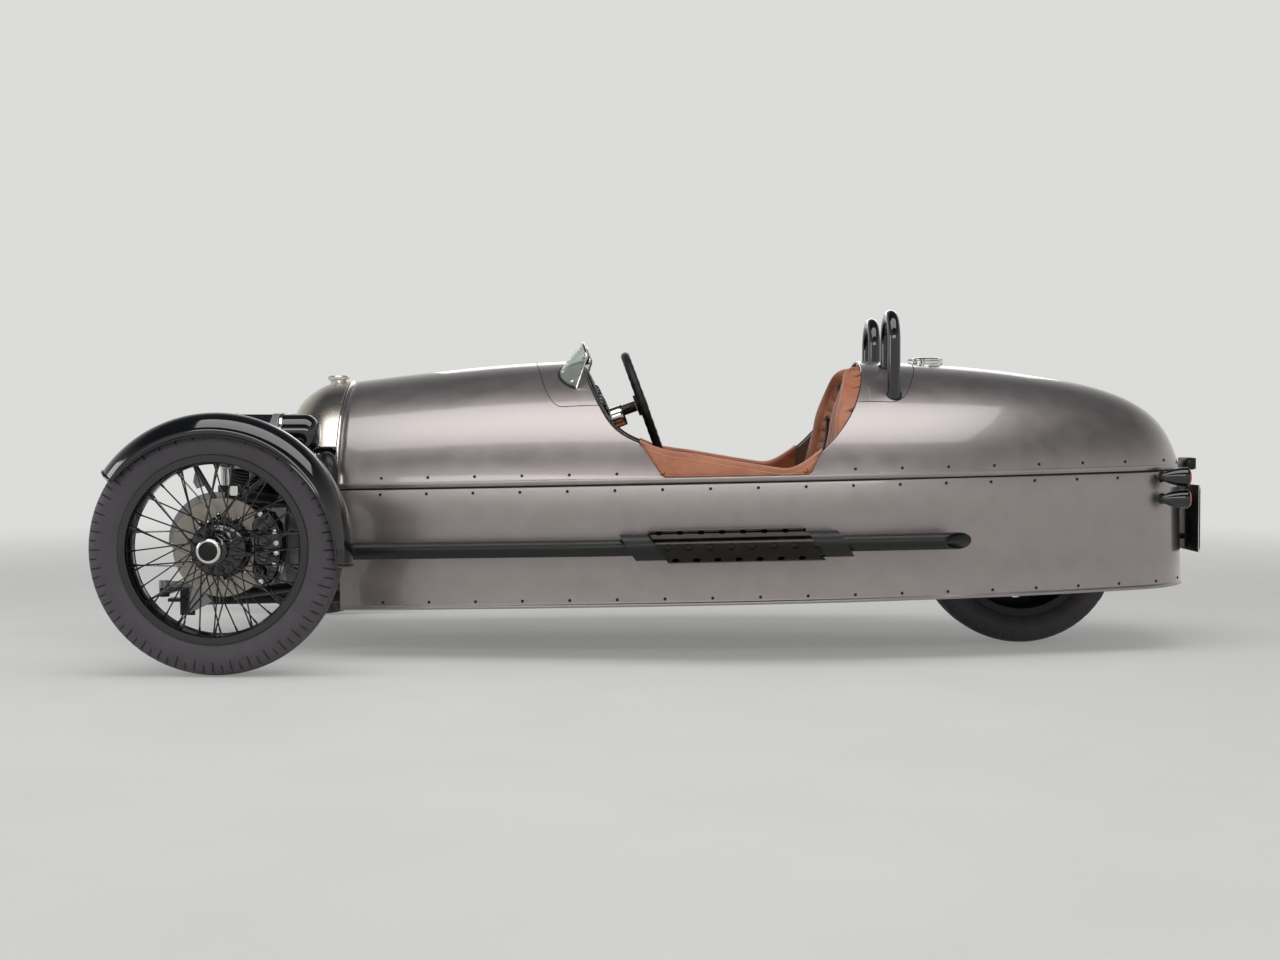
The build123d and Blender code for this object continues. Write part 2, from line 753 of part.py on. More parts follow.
with BuildPart() as heat_shields:
    with Locations(between(sleeve_front, sleeve_rear).location):
        Cylinder(shield_r, span(sleeve_front, sleeve_rear))
        Cylinder(shield_r - shield_wall, span(sleeve_front, sleeve_rear), mode=Mode.SUBTRACT)
    for x in (shield_front_x - 70.0, shield_rear_x + 70.0):
        with Locations(between(body_at(x - 4, pipe_y, pipe_z), body_at(x + 4, pipe_y, pipe_z)).location):
            Cylinder(shield_r - 1.0, 8.0)
            Cylinder(silencer_r + fit_gap, 8.0, mode=Mode.SUBTRACT)
    add(side_prism(slanted(shield_front_x - 29.0, shield_rear_x + 29.0, shield_r), 700.0), mode=Mode.INTERSECT)
    hole_rows = [
        # angle above the horizontal, shift along
        (58.0, 12.0),
        (0.0, -12.0),
        (-52.0, -34.0),
    ]
    middle_x = (shield_front_x + shield_rear_x) / 2
    for angle, shift in hole_rows:
        for i in range(8):
            x = middle_x + shift + (i - 3.5) * shield_pitch
            out = Vector(0, cos(radians(angle)), 0) + body_plane.z_dir * sin(radians(angle))
            start = body_at(x, pipe_y, pipe_z) + out * (silencer_r + 2.0)
            with Locations(between(start, start + out * 20.0).location):
                Cylinder(shield_hole_r, 20.0, mode=Mode.SUBTRACT)
    mirror(about=Plane.XZ)
keep(heat_shields, "heat_shields")

# Lamps and number plate
with BuildPart() as headlamp_shells:
    lamp_front_x = headlamp_rear_x + headlamp_l
    with BuildSketch(Plane(origin=(0, headlamp_y, headlamp_z), x_dir=(1, 0, 0), z_dir=(0, -1, 0))):
        with BuildLine():
            Polyline((headlamp_rear_x, 0), (headlamp_rear_x, headlamp_r - 34.0))
            ThreePointArc((headlamp_rear_x, headlamp_r - 34.0),
                          (headlamp_rear_x + 10.0, headlamp_r - 10.0), (headlamp_rear_x + 34.0, headlamp_r))
            Polyline((headlamp_rear_x + 34.0, headlamp_r), (lamp_front_x - 14.0, headlamp_r),
                     (lamp_front_x - 12.0, headlamp_r + 4.0), (lamp_front_x, headlamp_r + 4.0),
                     (lamp_front_x, headlamp_r - 3.0), (lamp_front_x - 16.0, headlamp_r - 3.0),
                     (lamp_front_x - 16.0, 0), (headlamp_rear_x, 0))
        make_face()
    revolve(axis=Axis((0, headlamp_y, headlamp_z), (1, 0, 0)))
    rod((lamp_stalk_x, headlamp_y, headlamp_z - 6.0), (lamp_stalk_x, 240.0, headlamp_z - 6.0), 11.0)
    add(cowl_skin, mode=Mode.SUBTRACT)
    mirror(about=Plane.XZ)
keep(headlamp_shells, "headlamp_shells")

with BuildPart() as headlamp_lenses:
    with BuildSketch(Plane(origin=(0, headlamp_y, headlamp_z), x_dir=(1, 0, 0), z_dir=(0, -1, 0))):
        with BuildLine():
            rim = headlamp_r - 3.4
            mid = dome_mid(rim, 9.0)
            Polyline((lamp_front_x - 4.0, 0), (lamp_front_x - 15.6, 0), (lamp_front_x - 15.6, rim), (lamp_front_x - 4.0, rim))
            ThreePointArc((lamp_front_x - 4.0, rim), (lamp_front_x - 4.0 + mid[0], mid[1]), (lamp_front_x + 5.0, 0))
            Line((lamp_front_x + 5.0, 0), (lamp_front_x - 4.0, 0))
        make_face()
    revolve(axis=Axis((0, headlamp_y, headlamp_z), (1, 0, 0)))
    mirror(about=Plane.XZ)
keep(headlamp_lenses, "headlamp_lenses")

lamp_end_x = tail_lamp_x - tail_lamp_l
tail_lamp_heights = (tail_lamp_low_z, tail_lamp_low_z + tail_lamp_pitch)
with BuildPart() as tail_lamp_shells:
    for z in tail_lamp_heights:
        with BuildSketch(Plane(origin=(0, tail_lamp_y, z), x_dir=(1, 0, 0), z_dir=(0, -1, 0))):
            with BuildLine():
                ThreePointArc((tail_lamp_x, 0), (tail_lamp_x - 28.0, tail_lamp_r * 0.68),
                              (tail_lamp_x - 66.0, tail_lamp_r))
                Polyline((tail_lamp_x - 66.0, tail_lamp_r), (lamp_end_x + 8.0, tail_lamp_r),
                         (lamp_end_x + 8.0, 0), (tail_lamp_x, 0))
            make_face()
        revolve(axis=Axis((0, tail_lamp_y, z), (1, 0, 0)))
        middle = Vector(tail_lamp_x - tail_lamp_l / 2, tail_lamp_y, z)
        centre = body_at(stern_centre_x, 0, 0)
        shift = Vector(middle.X - centre.X - z * sin(rake), middle.Y, 0)
        toward = shift / shift.length
        rod(middle - toward * (shift.length - stern_r - 2 * fit_gap), middle, 9.0)
    mirror(about=Plane.XZ)
keep(tail_lamp_shells, "tail_lamp_shells")

with BuildPart() as tail_lamp_lenses:
    for z in tail_lamp_heights:
        with BuildSketch(Plane(origin=(0, tail_lamp_y, z), x_dir=(1, 0, 0), z_dir=(0, -1, 0))):
            with BuildLine():
                rim = tail_lamp_r - 1.0
                mid = dome_mid(rim, 10.0)
                Polyline((lamp_end_x + 3.0, 0), (lamp_end_x + 8.0 - fit_gap, 0), (lamp_end_x + 8.0 - fit_gap, rim),
                         (lamp_end_x + 3.0, rim))
                ThreePointArc((lamp_end_x + 3.0, rim), (lamp_end_x + 3.0 - mid[0], mid[1]), (lamp_end_x - 7.0, 0))
                Line((lamp_end_x - 7.0, 0), (lamp_end_x + 3.0, 0))
            make_face()
        revolve(axis=Axis((0, tail_lamp_y, z), (1, 0, 0)))
    mirror(about=Plane.XZ)
keep(tail_lamp_lenses, "tail_lamp_lenses")

plate_x = stern_x - plate_standoff
lamp_rear_x = -overall_length / 2
with BuildPart() as plate_bracket:
    with Locations((plate_x + 4.0, 0, plate_low_z + 130.0)):
        Box(6.0, 56.0, 250.0)
    for z in (plate_low_z + 40.0, plate_low_z + 170.0):
        skin_x = body_at(stern_x, 0, z - 30.0).X
        rod((skin_x - fit_gap - 0.6, 0, z), (plate_x + 4.0, 0, z), 9.0)
    with Locations(((lamp_rear_x + plate_x + 7.0) / 2, 0, 556.0)):
        Box(plate_x + 7.0 - lamp_rear_x, 92.0, 34.0)
keep(plate_bracket, "plate_bracket")

with BuildPart() as number_plate:
    with Locations((plate_x + 1.0 - fit_gap - plate_t / 2, 0, plate_low_z + plate_h / 2)):
        Box(plate_t, plate_w, plate_h)
keep(number_plate, "number_plate")

# Frame, suspension
post_xs = (front_axle_x + wish_span, front_axle_x - wish_span)
rack_x = front_axle_x + arm_reach


def on_rail(x, height):
    """World height of a place on the raked frame."""
    return body_at(x, 0, height).Z


with BuildPart() as chassis_frame:
    rod(body_at(frame_front_x, rail_y, rail_z), body_at(pivot_x - 40.0, rail_y, rail_z), tube_r)
    rod(body_at(post_xs[0] + 24.0, rail_y, upper_rail_z), body_at(nose_x + fit_gap, rail_y, upper_rail_z), tube_r)
    for x in post_xs:
        rod((x, rail_y, on_rail(x, rail_z)), (x, rail_y, on_rail(x, upper_rail_z)), tube_r)
    with Locations((frame_front_x - 8.0, rail_y, on_rail(frame_front_x, rail_z) - 4.0)):
        Box(44.0, 7.0, 86.0)
    rod((rack_x, 180.0, arm_z), (rack_x, rail_y, on_rail(rack_x, rail_z)), 10.0)
    rod((frame_front_x - 20.0, -1.0, on_rail(frame_front_x, rail_z)),
        (frame_front_x - 20.0, rail_y, on_rail(frame_front_x, rail_z)), tube_r)
    with Locations((frame_front_x + tow_eye_out - 8.0, rail_y, on_rail(frame_front_x, rail_z))):
        Box(56.0, 44.0, tow_lug_t)
    with Locations((frame_front_x + tow_eye_out, rail_y, on_rail(frame_front_x, rail_z))):
        Cylinder(tow_eye_r, 40.0, mode=Mode.SUBTRACT)
    mirror(about=Plane.XZ)
    rod((rack_x, -205.0, arm_z), (rack_x, 205.0, arm_z), rack_housing_r)
    with Locations(between((rack_x, -300.0, arm_z), (rack_x, 300.0, arm_z)).location):
        Cylinder(rack_r + 0.06, 600.0, mode=Mode.SUBTRACT)
keep(chassis_frame, "chassis_frame")

bush_r = 18.0
bush_y = rail_y + tube_r + bush_r + fit_gap
housing_h = 36.0


def wishbone(bush_z, ball_z):
    """One A-arm on the left: two bushes, two tubes, a ball housing; added to the open part."""
    for x in post_xs:
        rod((x - 22.0, bush_y, bush_z), (x + 22.0, bush_y, bush_z), bush_r)
        rod((x, bush_y, bush_z), (front_axle_x, king_y, ball_z), wish_tube_r)
    rod((front_axle_x, king_y, ball_z - housing_h / 2), (front_axle_x, king_y, ball_z + housing_h / 2), 21.0)


damper_y = king_y - 92.0
damper_low_z = lower_ball_z + 22.0
with BuildPart() as lower_wishbones:
    wishbone(lower_ball_z - 8.0, lower_ball_z)
    with Locations((front_axle_x, damper_y, lower_ball_z + 6.0)):
        Box(92.0, 44.0, 16.0)
    mirror(about=Plane.XZ)
keep(lower_wishbones, "lower_wishbones")

with BuildPart() as upper_wishbones:
    wishbone(upper_rail_z - 30.0, upper_ball_z)
    mirror(about=Plane.XZ)
keep(upper_wishbones, "upper_wishbones")

damper_foot = Vector(front_axle_x, damper_y, damper_low_z + 14.0)
damper_top = Vector(front_axle_x, rail_y + tube_r + 22.0, on_rail(front_axle_x, upper_rail_z))
damper_dir = (damper_top - damper_foot) / (damper_top - damper_foot).length
damper_len = (damper_top - damper_foot).length
coil_start = 62.0
coil_step = (damper_len - coil_start - 44.0) / coil_turns
coil_outline = [(0.0, 0.0), (16.0, 0.0), (16.0, coil_start - 10.0), (coil_r, coil_start - 10.0), (coil_r, coil_start)]
for turn in range(coil_turns):
    low = coil_start + turn * coil_step
    coil_outline += [(coil_r - 13.0, low + 1.0), (coil_r, low + coil_step * 0.3), (coil_r, low + coil_step * 0.7)]
coil_outline += [(coil_r, damper_len - 42.0), (coil_r, damper_len - 34.0), (14.0, damper_len - 34.0)]
coil_outline += [(14.0, damper_len), (0.0, damper_len)]
with BuildPart() as front_dampers:
    with BuildSketch(Plane(origin=damper_foot, x_dir=(1, 0, 0), z_dir=Vector(1, 0, 0).cross(damper_dir))):
        with BuildLine():
            Polyline(*coil_outline, close=True)
        make_face()
    revolve(axis=Axis(damper_foot, damper_dir))
    rod(damper_foot - Vector(15, 0, 0), damper_foot + Vector(15, 0, 0), 13.5)
    rod(damper_top - Vector(16, 0, 0), damper_top + Vector(16, 0, 0), 21.5)
    mirror(about=Plane.XZ)
keep(front_dampers, "front_dampers")

pivot_z = rail_z + tube_r + fit_gap + 22.0
with BuildPart() as rear_fork:
    rod(body_at(pivot_x, -250.0, pivot_z), body_at(pivot_x, 250.0, pivot_z), 22.0)
    for y in (132.0, -132.0):
        rod(body_at(pivot_x, y, pivot_z), (rear_axle_x, y, rear_tyre_r), 22.0)
        rod((rear_axle_x, y - 20.0, rear_tyre_r), (rear_axle_x, y + 20.0, rear_tyre_r), 34.0)
    rod((rear_axle_x, -165.0, rear_tyre_r), (rear_axle_x, 165.0, rear_tyre_r), rear_axle_r)
keep(rear_fork, "rear_fork")

# Steered parts and wheels, left side first
axle = Axis((front_axle_x, wheel_y, front_tyre_r), (0, 1, 0))


def wheel_sketch_plane(x, y, z):
    """Across the wheel outward, then out along a radius."""
    return Plane(origin=(x, y, z), x_dir=(0, 1, 0), z_dir=(1, 0, 0))


left_plane = wheel_sketch_plane(front_axle_x, wheel_y, front_tyre_r)
rim_in = front_rim_half - flange_wall

with BuildPart() as tyre_left:
    with BuildSketch(left_plane):
        with BuildLine():
            Polyline((-rim_in + fit_gap, front_rim_r + 2.0), (-rim_in + fit_gap, front_bed_r + fit_gap),
                     (rim_in - fit_gap, front_bed_r + fit_gap), (rim_in - fit_gap, front_rim_r + 2.0))
            ThreePointArc((rim_in - fit_gap, front_rim_r + 2.0), (front_tyre_half, front_tyre_r - 45.0),
                          (front_tyre_half - 13.0, front_tyre_r - 11.0))
            ThreePointArc((front_tyre_half - 13.0, front_tyre_r - 11.0), (0, front_tyre_r),
                          (-front_tyre_half + 13.0, front_tyre_r - 11.0))
            ThreePointArc((-front_tyre_half + 13.0, front_tyre_r - 11.0), (-front_tyre_half, front_tyre_r - 45.0),
                          (-rim_in + fit_gap, front_rim_r + 2.0))
        make_face()
    revolve(axis=axle)
keep(tyre_left, "front_tyre_left")


def spoke(start_y, start_r, end_y, end_r, angle, sweep_angle):
    """Ends of one spoke, hub first."""
    a = radians(angle)
    b = radians(angle + sweep_angle)
    centre = Vector(front_axle_x, wheel_y, front_tyre_r)
    start = centre + Vector(start_r * cos(a), start_y, start_r * sin(a))
    end = centre + Vector(end_r * cos(b), end_y, end_r * sin(b))
    return start, end


spoke_rows = [
    # hub side, hub radius, rim side, sweep, first angle as a share of the pitch
    (hub_outer_y + 2.2, hub_outer_r - 5.0, 12.0, 40.0, 0.0),
    (hub_outer_y - 2.2, hub_outer_r - 5.0, 6.0, -40.0, 0.5),
    (hub_inner_y + 2.2, hub_inner_r - 5.0, -6.0, 34.0, 0.25),
    (hub_inner_y - 2.2, hub_inner_r - 5.0, -12.0, -34.0, 0.75),
]
with BuildPart() as wire_wheel_left:
    with BuildSketch(left_plane):
        with BuildLine():
            Polyline((-front_rim_half, front_bed_r - rim_wall), (front_rim_half, front_bed_r - rim_wall),
                     (front_rim_half, front_rim_r), (rim_in, front_rim_r), (rim_in, front_bed_r),
                     (-rim_in, front_bed_r), (-rim_in, front_rim_r), (-front_rim_half, front_rim_r), close=True)
        make_face()
    revolve(axis=axle)
    with BuildSketch(left_plane):
        with BuildLine():
            Polyline((hub_inner_y - hub_flange_t / 2, axle_r + 0.05), (hub_inner_y - hub_flange_t / 2, hub_inner_r),
                     (hub_inner_y + hub_flange_t / 2, hub_inner_r), (hub_inner_y + hub_flange_t / 2 + 8.0, hub_core_r),
                     (hub_outer_y - hub_flange_t / 2 - 6.0, hub_core_r), (hub_outer_y - hub_flange_t / 2, hub_outer_r),
                     (hub_outer_y + hub_flange_t / 2, hub_outer_r), (hub_outer_y + hub_flange_t / 2 + 6.0, hub_cap_r - 5),
                     (hub_cap_y - 26.0, hub_cap_r - 5), (hub_cap_y - 26.0, hub_cap_r), (hub_cap_y - 4.0, hub_cap_r),
                     (hub_cap_y, hub_cap_r - 5.0), (hub_cap_y, 0), (hub_cap_y - 12.0, 0),
                     (hub_cap_y - 12.0, axle_r + 0.05), close=True)
        make_face()
    revolve(axis=axle)
    spokes = []
    for start_y, start_r, end_y, turn, first in spoke_rows:
        for i in range(spoke_pairs):
            angle = (first + i) * 360.0 / spoke_pairs
            spokes.append(spoke(start_y, start_r, end_y, front_bed_r - rim_wall + 2.0, angle, turn))
    for start, end in spokes:
        rod(start, end, spoke_r)
keep(wire_wheel_left, "wire_wheel_left")

with BuildPart() as brake_disc_left:
    with BuildSketch(left_plane):
        with BuildLine():
            Polyline((disc_y - disc_t / 2, 62.0), (disc_y - disc_t / 2, disc_r), (disc_y + disc_t / 2, disc_r),
                     (disc_y + disc_t / 2, 72.0), (hub_inner_y - hub_flange_t / 2 - fit_gap, 72.0),
                     (hub_inner_y - hub_flange_t / 2 - fit_gap, 34.0), (hub_inner_y - hub_flange_t / 2 - 8.0, 34.0),
                     (hub_inner_y - hub_flange_t / 2 - 8.0, 62.0), close=True)
        make_face()
    revolve(axis=axle)
keep(brake_disc_left, "brake_disc_left")

caliper_half = 34.0
caliper_in_y = disc_y - caliper_half
with BuildPart() as caliper_left:
    with BuildSketch(Plane(origin=(front_axle_x, wheel_y + caliper_in_y, front_tyre_r), x_dir=(-1, 0, 0), z_dir=(0, 1, 0))):
        with BuildLine():
            Polyline((86.0, -48.0), (92.0, 48.0), (124.0, 66.0), (150.0, 52.0), (160.0, 0.0), (150.0, -52.0), (124.0, -66.0),
                     close=True)
        make_face()
    extrude(amount=2 * caliper_half)
    with Locations(Plane(origin=(front_axle_x, wheel_y + disc_y, front_tyre_r), z_dir=(0, 1, 0)).location):
        Cylinder(disc_r + 5.0, disc_t + 10.0, mode=Mode.SUBTRACT)
keep(caliper_left, "caliper_left")

eye_z = arm_z + 16.0
with BuildPart() as upright_left:
    rod((front_axle_x, king_y, lower_ball_z + housing_h / 2 + fit_gap),
        (front_axle_x, king_y, upper_ball_z - housing_h / 2 - fit_gap), 17.0)
    rod((front_axle_x, king_y - 24.0, front_tyre_r), (front_axle_x, king_y + 24.0, front_tyre_r), 36.0)
    rod((front_axle_x, king_y, front_tyre_r), (front_axle_x, wheel_y + hub_cap_y - 14.0, front_tyre_r), axle_r)
    with Locations((front_axle_x - 66.0, wheel_y + caliper_in_y - fit_gap - 6.0, front_tyre_r)):
        Box(120.0, 12.0, 58.0)
    rod((front_axle_x, king_y, eye_z + 6.0), (rack_x, king_y - 12.0, eye_z + 6.0), 8.0)
    rod((rack_x, king_y - 12.0, eye_z - 4.0), (rack_x, king_y - 12.0, eye_z + 16.0), 15.0)
    rod((front_axle_x, king_y, upper_ball_z - 58.0), (front_axle_x, king_y + stay_in - 7.0 - fit_gap, upper_ball_z - 58.0), 10.0)
keep(upright_left, "upright_left")

guard_start = radians(guard_front_deg)
guard_in = guard_half - guard_wall
guard_shoulder_r = guard_r - 46.0
with BuildPart() as mudguard_left:
    guard_plane = Plane(origin=(front_axle_x, wheel_y, front_tyre_r), x_dir=(0, 1, 0),
                        z_dir=(sin(guard_start), 0, -cos(guard_start)))
    with BuildSketch(guard_plane):
        with BuildLine():
            Line((guard_half, guard_skirt_r), (guard_half, guard_shoulder_r))
            ThreePointArc((guard_half, guard_shoulder_r), (0, guard_r), (-guard_half, guard_shoulder_r))
            Polyline((-guard_half, guard_shoulder_r), (-guard_half, guard_skirt_r), (-guard_in, guard_skirt_r),
                     (-guard_in, guard_shoulder_r))
            ThreePointArc((-guard_in, guard_shoulder_r), (0, guard_r - guard_wall), (guard_in, guard_shoulder_r))
            Polyline((guard_in, guard_shoulder_r), (guard_in, guard_skirt_r), (guard_half, guard_skirt_r))
        make_face()
    revolve(axis=Axis((front_axle_x, wheel_y, front_tyre_r), (0, -1, 0)),
            revolution_arc=guard_rear_deg - guard_front_deg)
    with Locations(Plane(origin=(front_axle_x, wheel_y, front_tyre_r - guard_trim_drop), z_dir=(0, 1, 0)).location):
        Cylinder(guard_trim_r, 400.0, mode=Mode.SUBTRACT)
    for angle in (68.0, 128.0):
        a = radians(angle)
        hold = Vector(front_axle_x + 338.0 * cos(a), wheel_y - guard_half + 1.0, front_tyre_r + 338.0 * sin(a))
        rod((front_axle_x, king_y + stay_in, upper_ball_z - 58.0), hold, 7.0)
keep(mudguard_left, "mudguard_left")

left_pieces = [
    (tyre_left, "front_tyre_right"),
    (wire_wheel_left, "wire_wheel_right"),
    (brake_disc_left, "brake_disc_right"),
    (caliper_left, "caliper_right"),
    (upright_left, "upright_right"),
    (mudguard_left, "mudguard_right"),
]
for piece, name in left_pieces:
    with BuildPart() as other:
        mirror(piece.part, about=Plane.XZ)
    keep(other, name)

with BuildPart() as steering_rack:
    rod((rack_x, -king_y + 12.0, arm_z), (rack_x, king_y - 12.0, arm_z), rack_r)
    for y in (king_y - 12.0, -king_y + 12.0):
        rod((rack_x, y, arm_z - 13.0), (rack_x, y, eye_z - 4.0 - fit_gap), 14.0)
keep(steering_rack, "steering_rack")

# Rear wheel
rear_plane = wheel_sketch_plane(rear_axle_x, 0.0, rear_tyre_r)
rear_axis = Axis((rear_axle_x, 0, rear_tyre_r), (0, 1, 0))
rear_in = rear_rim_half - flange_wall
with BuildPart() as rear_tyre:
    with BuildSketch(rear_plane):
        with BuildLine():
            Polyline((-rear_in + fit_gap, rear_rim_r + 3.0), (-rear_in + fit_gap, rear_bed_r + fit_gap),
                     (rear_in - fit_gap, rear_bed_r + fit_gap), (rear_in - fit_gap, rear_rim_r + 3.0))
            ThreePointArc((rear_in - fit_gap, rear_rim_r + 3.0), (rear_tyre_half, rear_tyre_r - 48.0),
                          (rear_tyre_half - 10.0, rear_tyre_r - 14.0))
            ThreePointArc((rear_tyre_half - 10.0, rear_tyre_r - 14.0), (rear_tyre_half - 18.0, rear_tyre_r - 5.0),
                          (rear_tyre_half - 32.0, rear_tyre_r))
            Line((rear_tyre_half - 32.0, rear_tyre_r), (-rear_tyre_half + 32.0, rear_tyre_r))
            ThreePointArc((-rear_tyre_half + 32.0, rear_tyre_r), (-rear_tyre_half + 18.0, rear_tyre_r - 5.0),
                          (-rear_tyre_half + 10.0, rear_tyre_r - 14.0))
            ThreePointArc((-rear_tyre_half + 10.0, rear_tyre_r - 14.0), (-rear_tyre_half, rear_tyre_r - 48.0),
                          (-rear_in + fit_gap, rear_rim_r + 3.0))
        make_face()
    revolve(axis=rear_axis)
keep(rear_tyre, "rear_tyre")

with BuildPart() as rear_wheel:
    with BuildSketch(rear_plane):
        with BuildLine():
            Polyline((-rear_rim_half, rear_bed_r - 8.0), (-14.0, rear_bed_r - 8.0), (8.0, rear_hub_r + 20.0),
                     (8.0, rear_hub_r), (-104.0, rear_hub_r), (-104.0, rear_axle_r + 0.05),
                     (104.0, rear_axle_r + 0.05), (104.0, rear_hub_r - 10.0), (24.0, rear_hub_r - 10.0),
                     (24.0, rear_hub_r + 20.0), (4.0, rear_bed_r - 8.0), (rear_rim_half, rear_bed_r - 8.0),
                     (rear_rim_half, rear_rim_r), (rear_in, rear_rim_r), (rear_in, rear_bed_r),
                     (-rear_in, rear_bed_r), (-rear_in, rear_rim_r), (-rear_rim_half, rear_rim_r), close=True)
        make_face()
    revolve(axis=rear_axis)
    with Locations(Plane(origin=(rear_axle_x, 0, rear_tyre_r), z_dir=(0, 1, 0)).location):
        with PolarLocations(138.0, 6):
            Cylinder(30.0, 120.0, mode=Mode.SUBTRACT)
keep(rear_wheel, "rear_wheel")
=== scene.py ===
"""Looks of an open three-wheeled car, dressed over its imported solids.

Metres, +X forward, +Y to the left, +Z up. Tables give millimetres, as the drawings do.
"""

from math import acos, atan, atan2, cos, exp, pi, radians, sin, sqrt

import bmesh
import bpy
import numpy as np
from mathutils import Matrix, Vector


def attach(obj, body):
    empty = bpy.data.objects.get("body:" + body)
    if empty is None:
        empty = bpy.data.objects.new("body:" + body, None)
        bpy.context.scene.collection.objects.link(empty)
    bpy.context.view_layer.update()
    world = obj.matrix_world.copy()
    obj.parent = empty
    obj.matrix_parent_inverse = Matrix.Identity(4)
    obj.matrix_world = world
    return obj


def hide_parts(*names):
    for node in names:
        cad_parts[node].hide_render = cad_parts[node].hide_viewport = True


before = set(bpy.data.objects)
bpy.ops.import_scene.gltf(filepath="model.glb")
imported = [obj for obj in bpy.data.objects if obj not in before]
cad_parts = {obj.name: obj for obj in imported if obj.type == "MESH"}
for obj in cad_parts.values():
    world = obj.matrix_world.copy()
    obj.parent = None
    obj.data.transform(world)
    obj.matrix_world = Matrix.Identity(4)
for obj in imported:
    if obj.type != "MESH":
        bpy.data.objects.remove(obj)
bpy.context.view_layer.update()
MM = 0.001
BODY_WALL, COWL_WALL, GUARD_WALL, LINING_WALL = 0.020, 0.006, 0.003, 0.003
SIDES = ("left", "right")
AHEAD, BEHIND, ASIDE, UPWARD = (1, 0, 0), (-1, 0, 0), (0, 1, 0), (0, 0, 1)
WELD = 1e-5
# Angles in degrees over which an edge stays sharp, from cut metal to round bars
SHARP, CRISP, EASED, SOFT, ROUND = 35.0, 40.0, 50.0, 60.0, 80.0

# Sizes shared with the solids, in millimetres
RAKE, RAKE_SHIFT = radians(1.2), 13.6
FRONT_X, REAR_X = 1265.5, -1059.5
WHEEL_Y, KING_Y = 765.0, 653.0
FRONT_R, REAR_R = 342.0, 302.0
NOSE_X, NOSE_HALF = 1005.0, 395.0
WAIST_X, WAIST_HALF = -180.0, 485.0
STERN_X, STERN_R = -1553.0, 300.0
BELT_Z, BELT_GAP = 507.0, 5.0
STERN_MID = STERN_X + STERN_R
SIDE_R = ((NOSE_X - WAIST_X) ** 2 + (WAIST_HALF - NOSE_HALF) ** 2) / (2 * (WAIST_HALF - NOSE_HALF))
STERN_RUN = WAIST_X - STERN_MID
QUARTER_R = (STERN_RUN ** 2 + WAIST_HALF ** 2 - STERN_R ** 2) / (2 * (WAIST_HALF - STERN_R))
QUARTER_COS = -STERN_RUN / (QUARTER_R - STERN_R)
QUARTER_SIN = (QUARTER_R - WAIST_HALF) / (QUARTER_R - STERN_R)

# Station and height above the belt, nose to stern
TOP_LINE = [
    (1005, 325), (620, 362), (100, 378), (-580, 356), (-1030, 314), (-1150, 293), (-1245, 273), (-1325, 250),
    (-1395, 221), (-1450, 187), (-1492, 146), (-1520, 100), (-1538, 55), (-1549, 14), (-1553, 0),
]
# Station and height of the cockpit's edge in side view, scuttle to tail deck
COCKPIT_EDGE = [(312, 910), (233, 727), (199, 676), (165, 648), (124, 627), (61, 601), (-30, 583.9),
                (-120, 566.9), (-210, 550), (-268, 539.5), (-303, 536.5), (-358, 559), (-402, 590),
                (-476, 667), (-517, 731), (-543, 793), (-556, 832), (-560, 910)]
# Station, height above the belt and half width of the radiator cowl
COWL = [(1008, 325, 395), (1085, 318, 386), (1140, 288, 352), (1175, 246, 306), (1193, 205, 262)]


# Making meshes

def mm(x, y, z):
    """A point or a step given in millimetres, in metres."""
    return Vector((x, y, z)) * MM


def spline(xs, ys):
    """Natural cubic spline through the points, as a function of x."""
    xs, ys = np.asarray(xs, float), np.asarray(ys, float)
    count, gap = len(xs), np.diff(xs)
    left, right = np.eye(count), np.zeros(count)
    for i in range(1, count - 1):
        left[i, i - 1:i + 2] = gap[i - 1], 2 * (gap[i - 1] + gap[i]), gap[i]
        right[i] = 6 * ((ys[i + 1] - ys[i]) / gap[i] - (ys[i] - ys[i - 1]) / gap[i - 1])
    bend = np.linalg.solve(left, right)

    def at(x):
        x = np.asarray(x, float)
        i = np.clip(np.searchsorted(xs, x) - 1, 0, count - 2)
        h, u, v = gap[i], xs[i + 1] - x, x - xs[i]
        bent = (bend[i] * u ** 3 + bend[i + 1] * v ** 3) / (6 * h)
        return bent + (ys[i] / h - bend[i] * h / 6) * u + (ys[i + 1] / h - bend[i + 1] * h / 6) * v
    return at


def run_along(points):
    """Distance run from the first point to each."""
    return np.concatenate([[0], np.cumsum(np.linalg.norm(np.diff(points, axis=0), axis=1))])


def through(points, count):
    """Evenly spaced points on a smooth line through the given ones."""
    points = np.asarray(points, float)
    run = run_along(points)
    steps = np.linspace(0, run[-1], count)
    return np.stack([spline(run, column)(steps) for column in points.T], axis=1)


def over(points, wrap_rows=False, wrap_columns=False):
    """Vertices and faces of a grid of points."""
    points = np.asarray(points, float)
    rows, columns = points.shape[:2]
    faces = []
    for i in range(rows if wrap_rows else rows - 1):
        for j in range(columns if wrap_columns else columns - 1):
            k, m = (i + 1) % rows, (j + 1) % columns
            faces.append((i * columns + j, i * columns + m, k * columns + m, k * columns + j))
    return points.reshape(-1, 3), faces


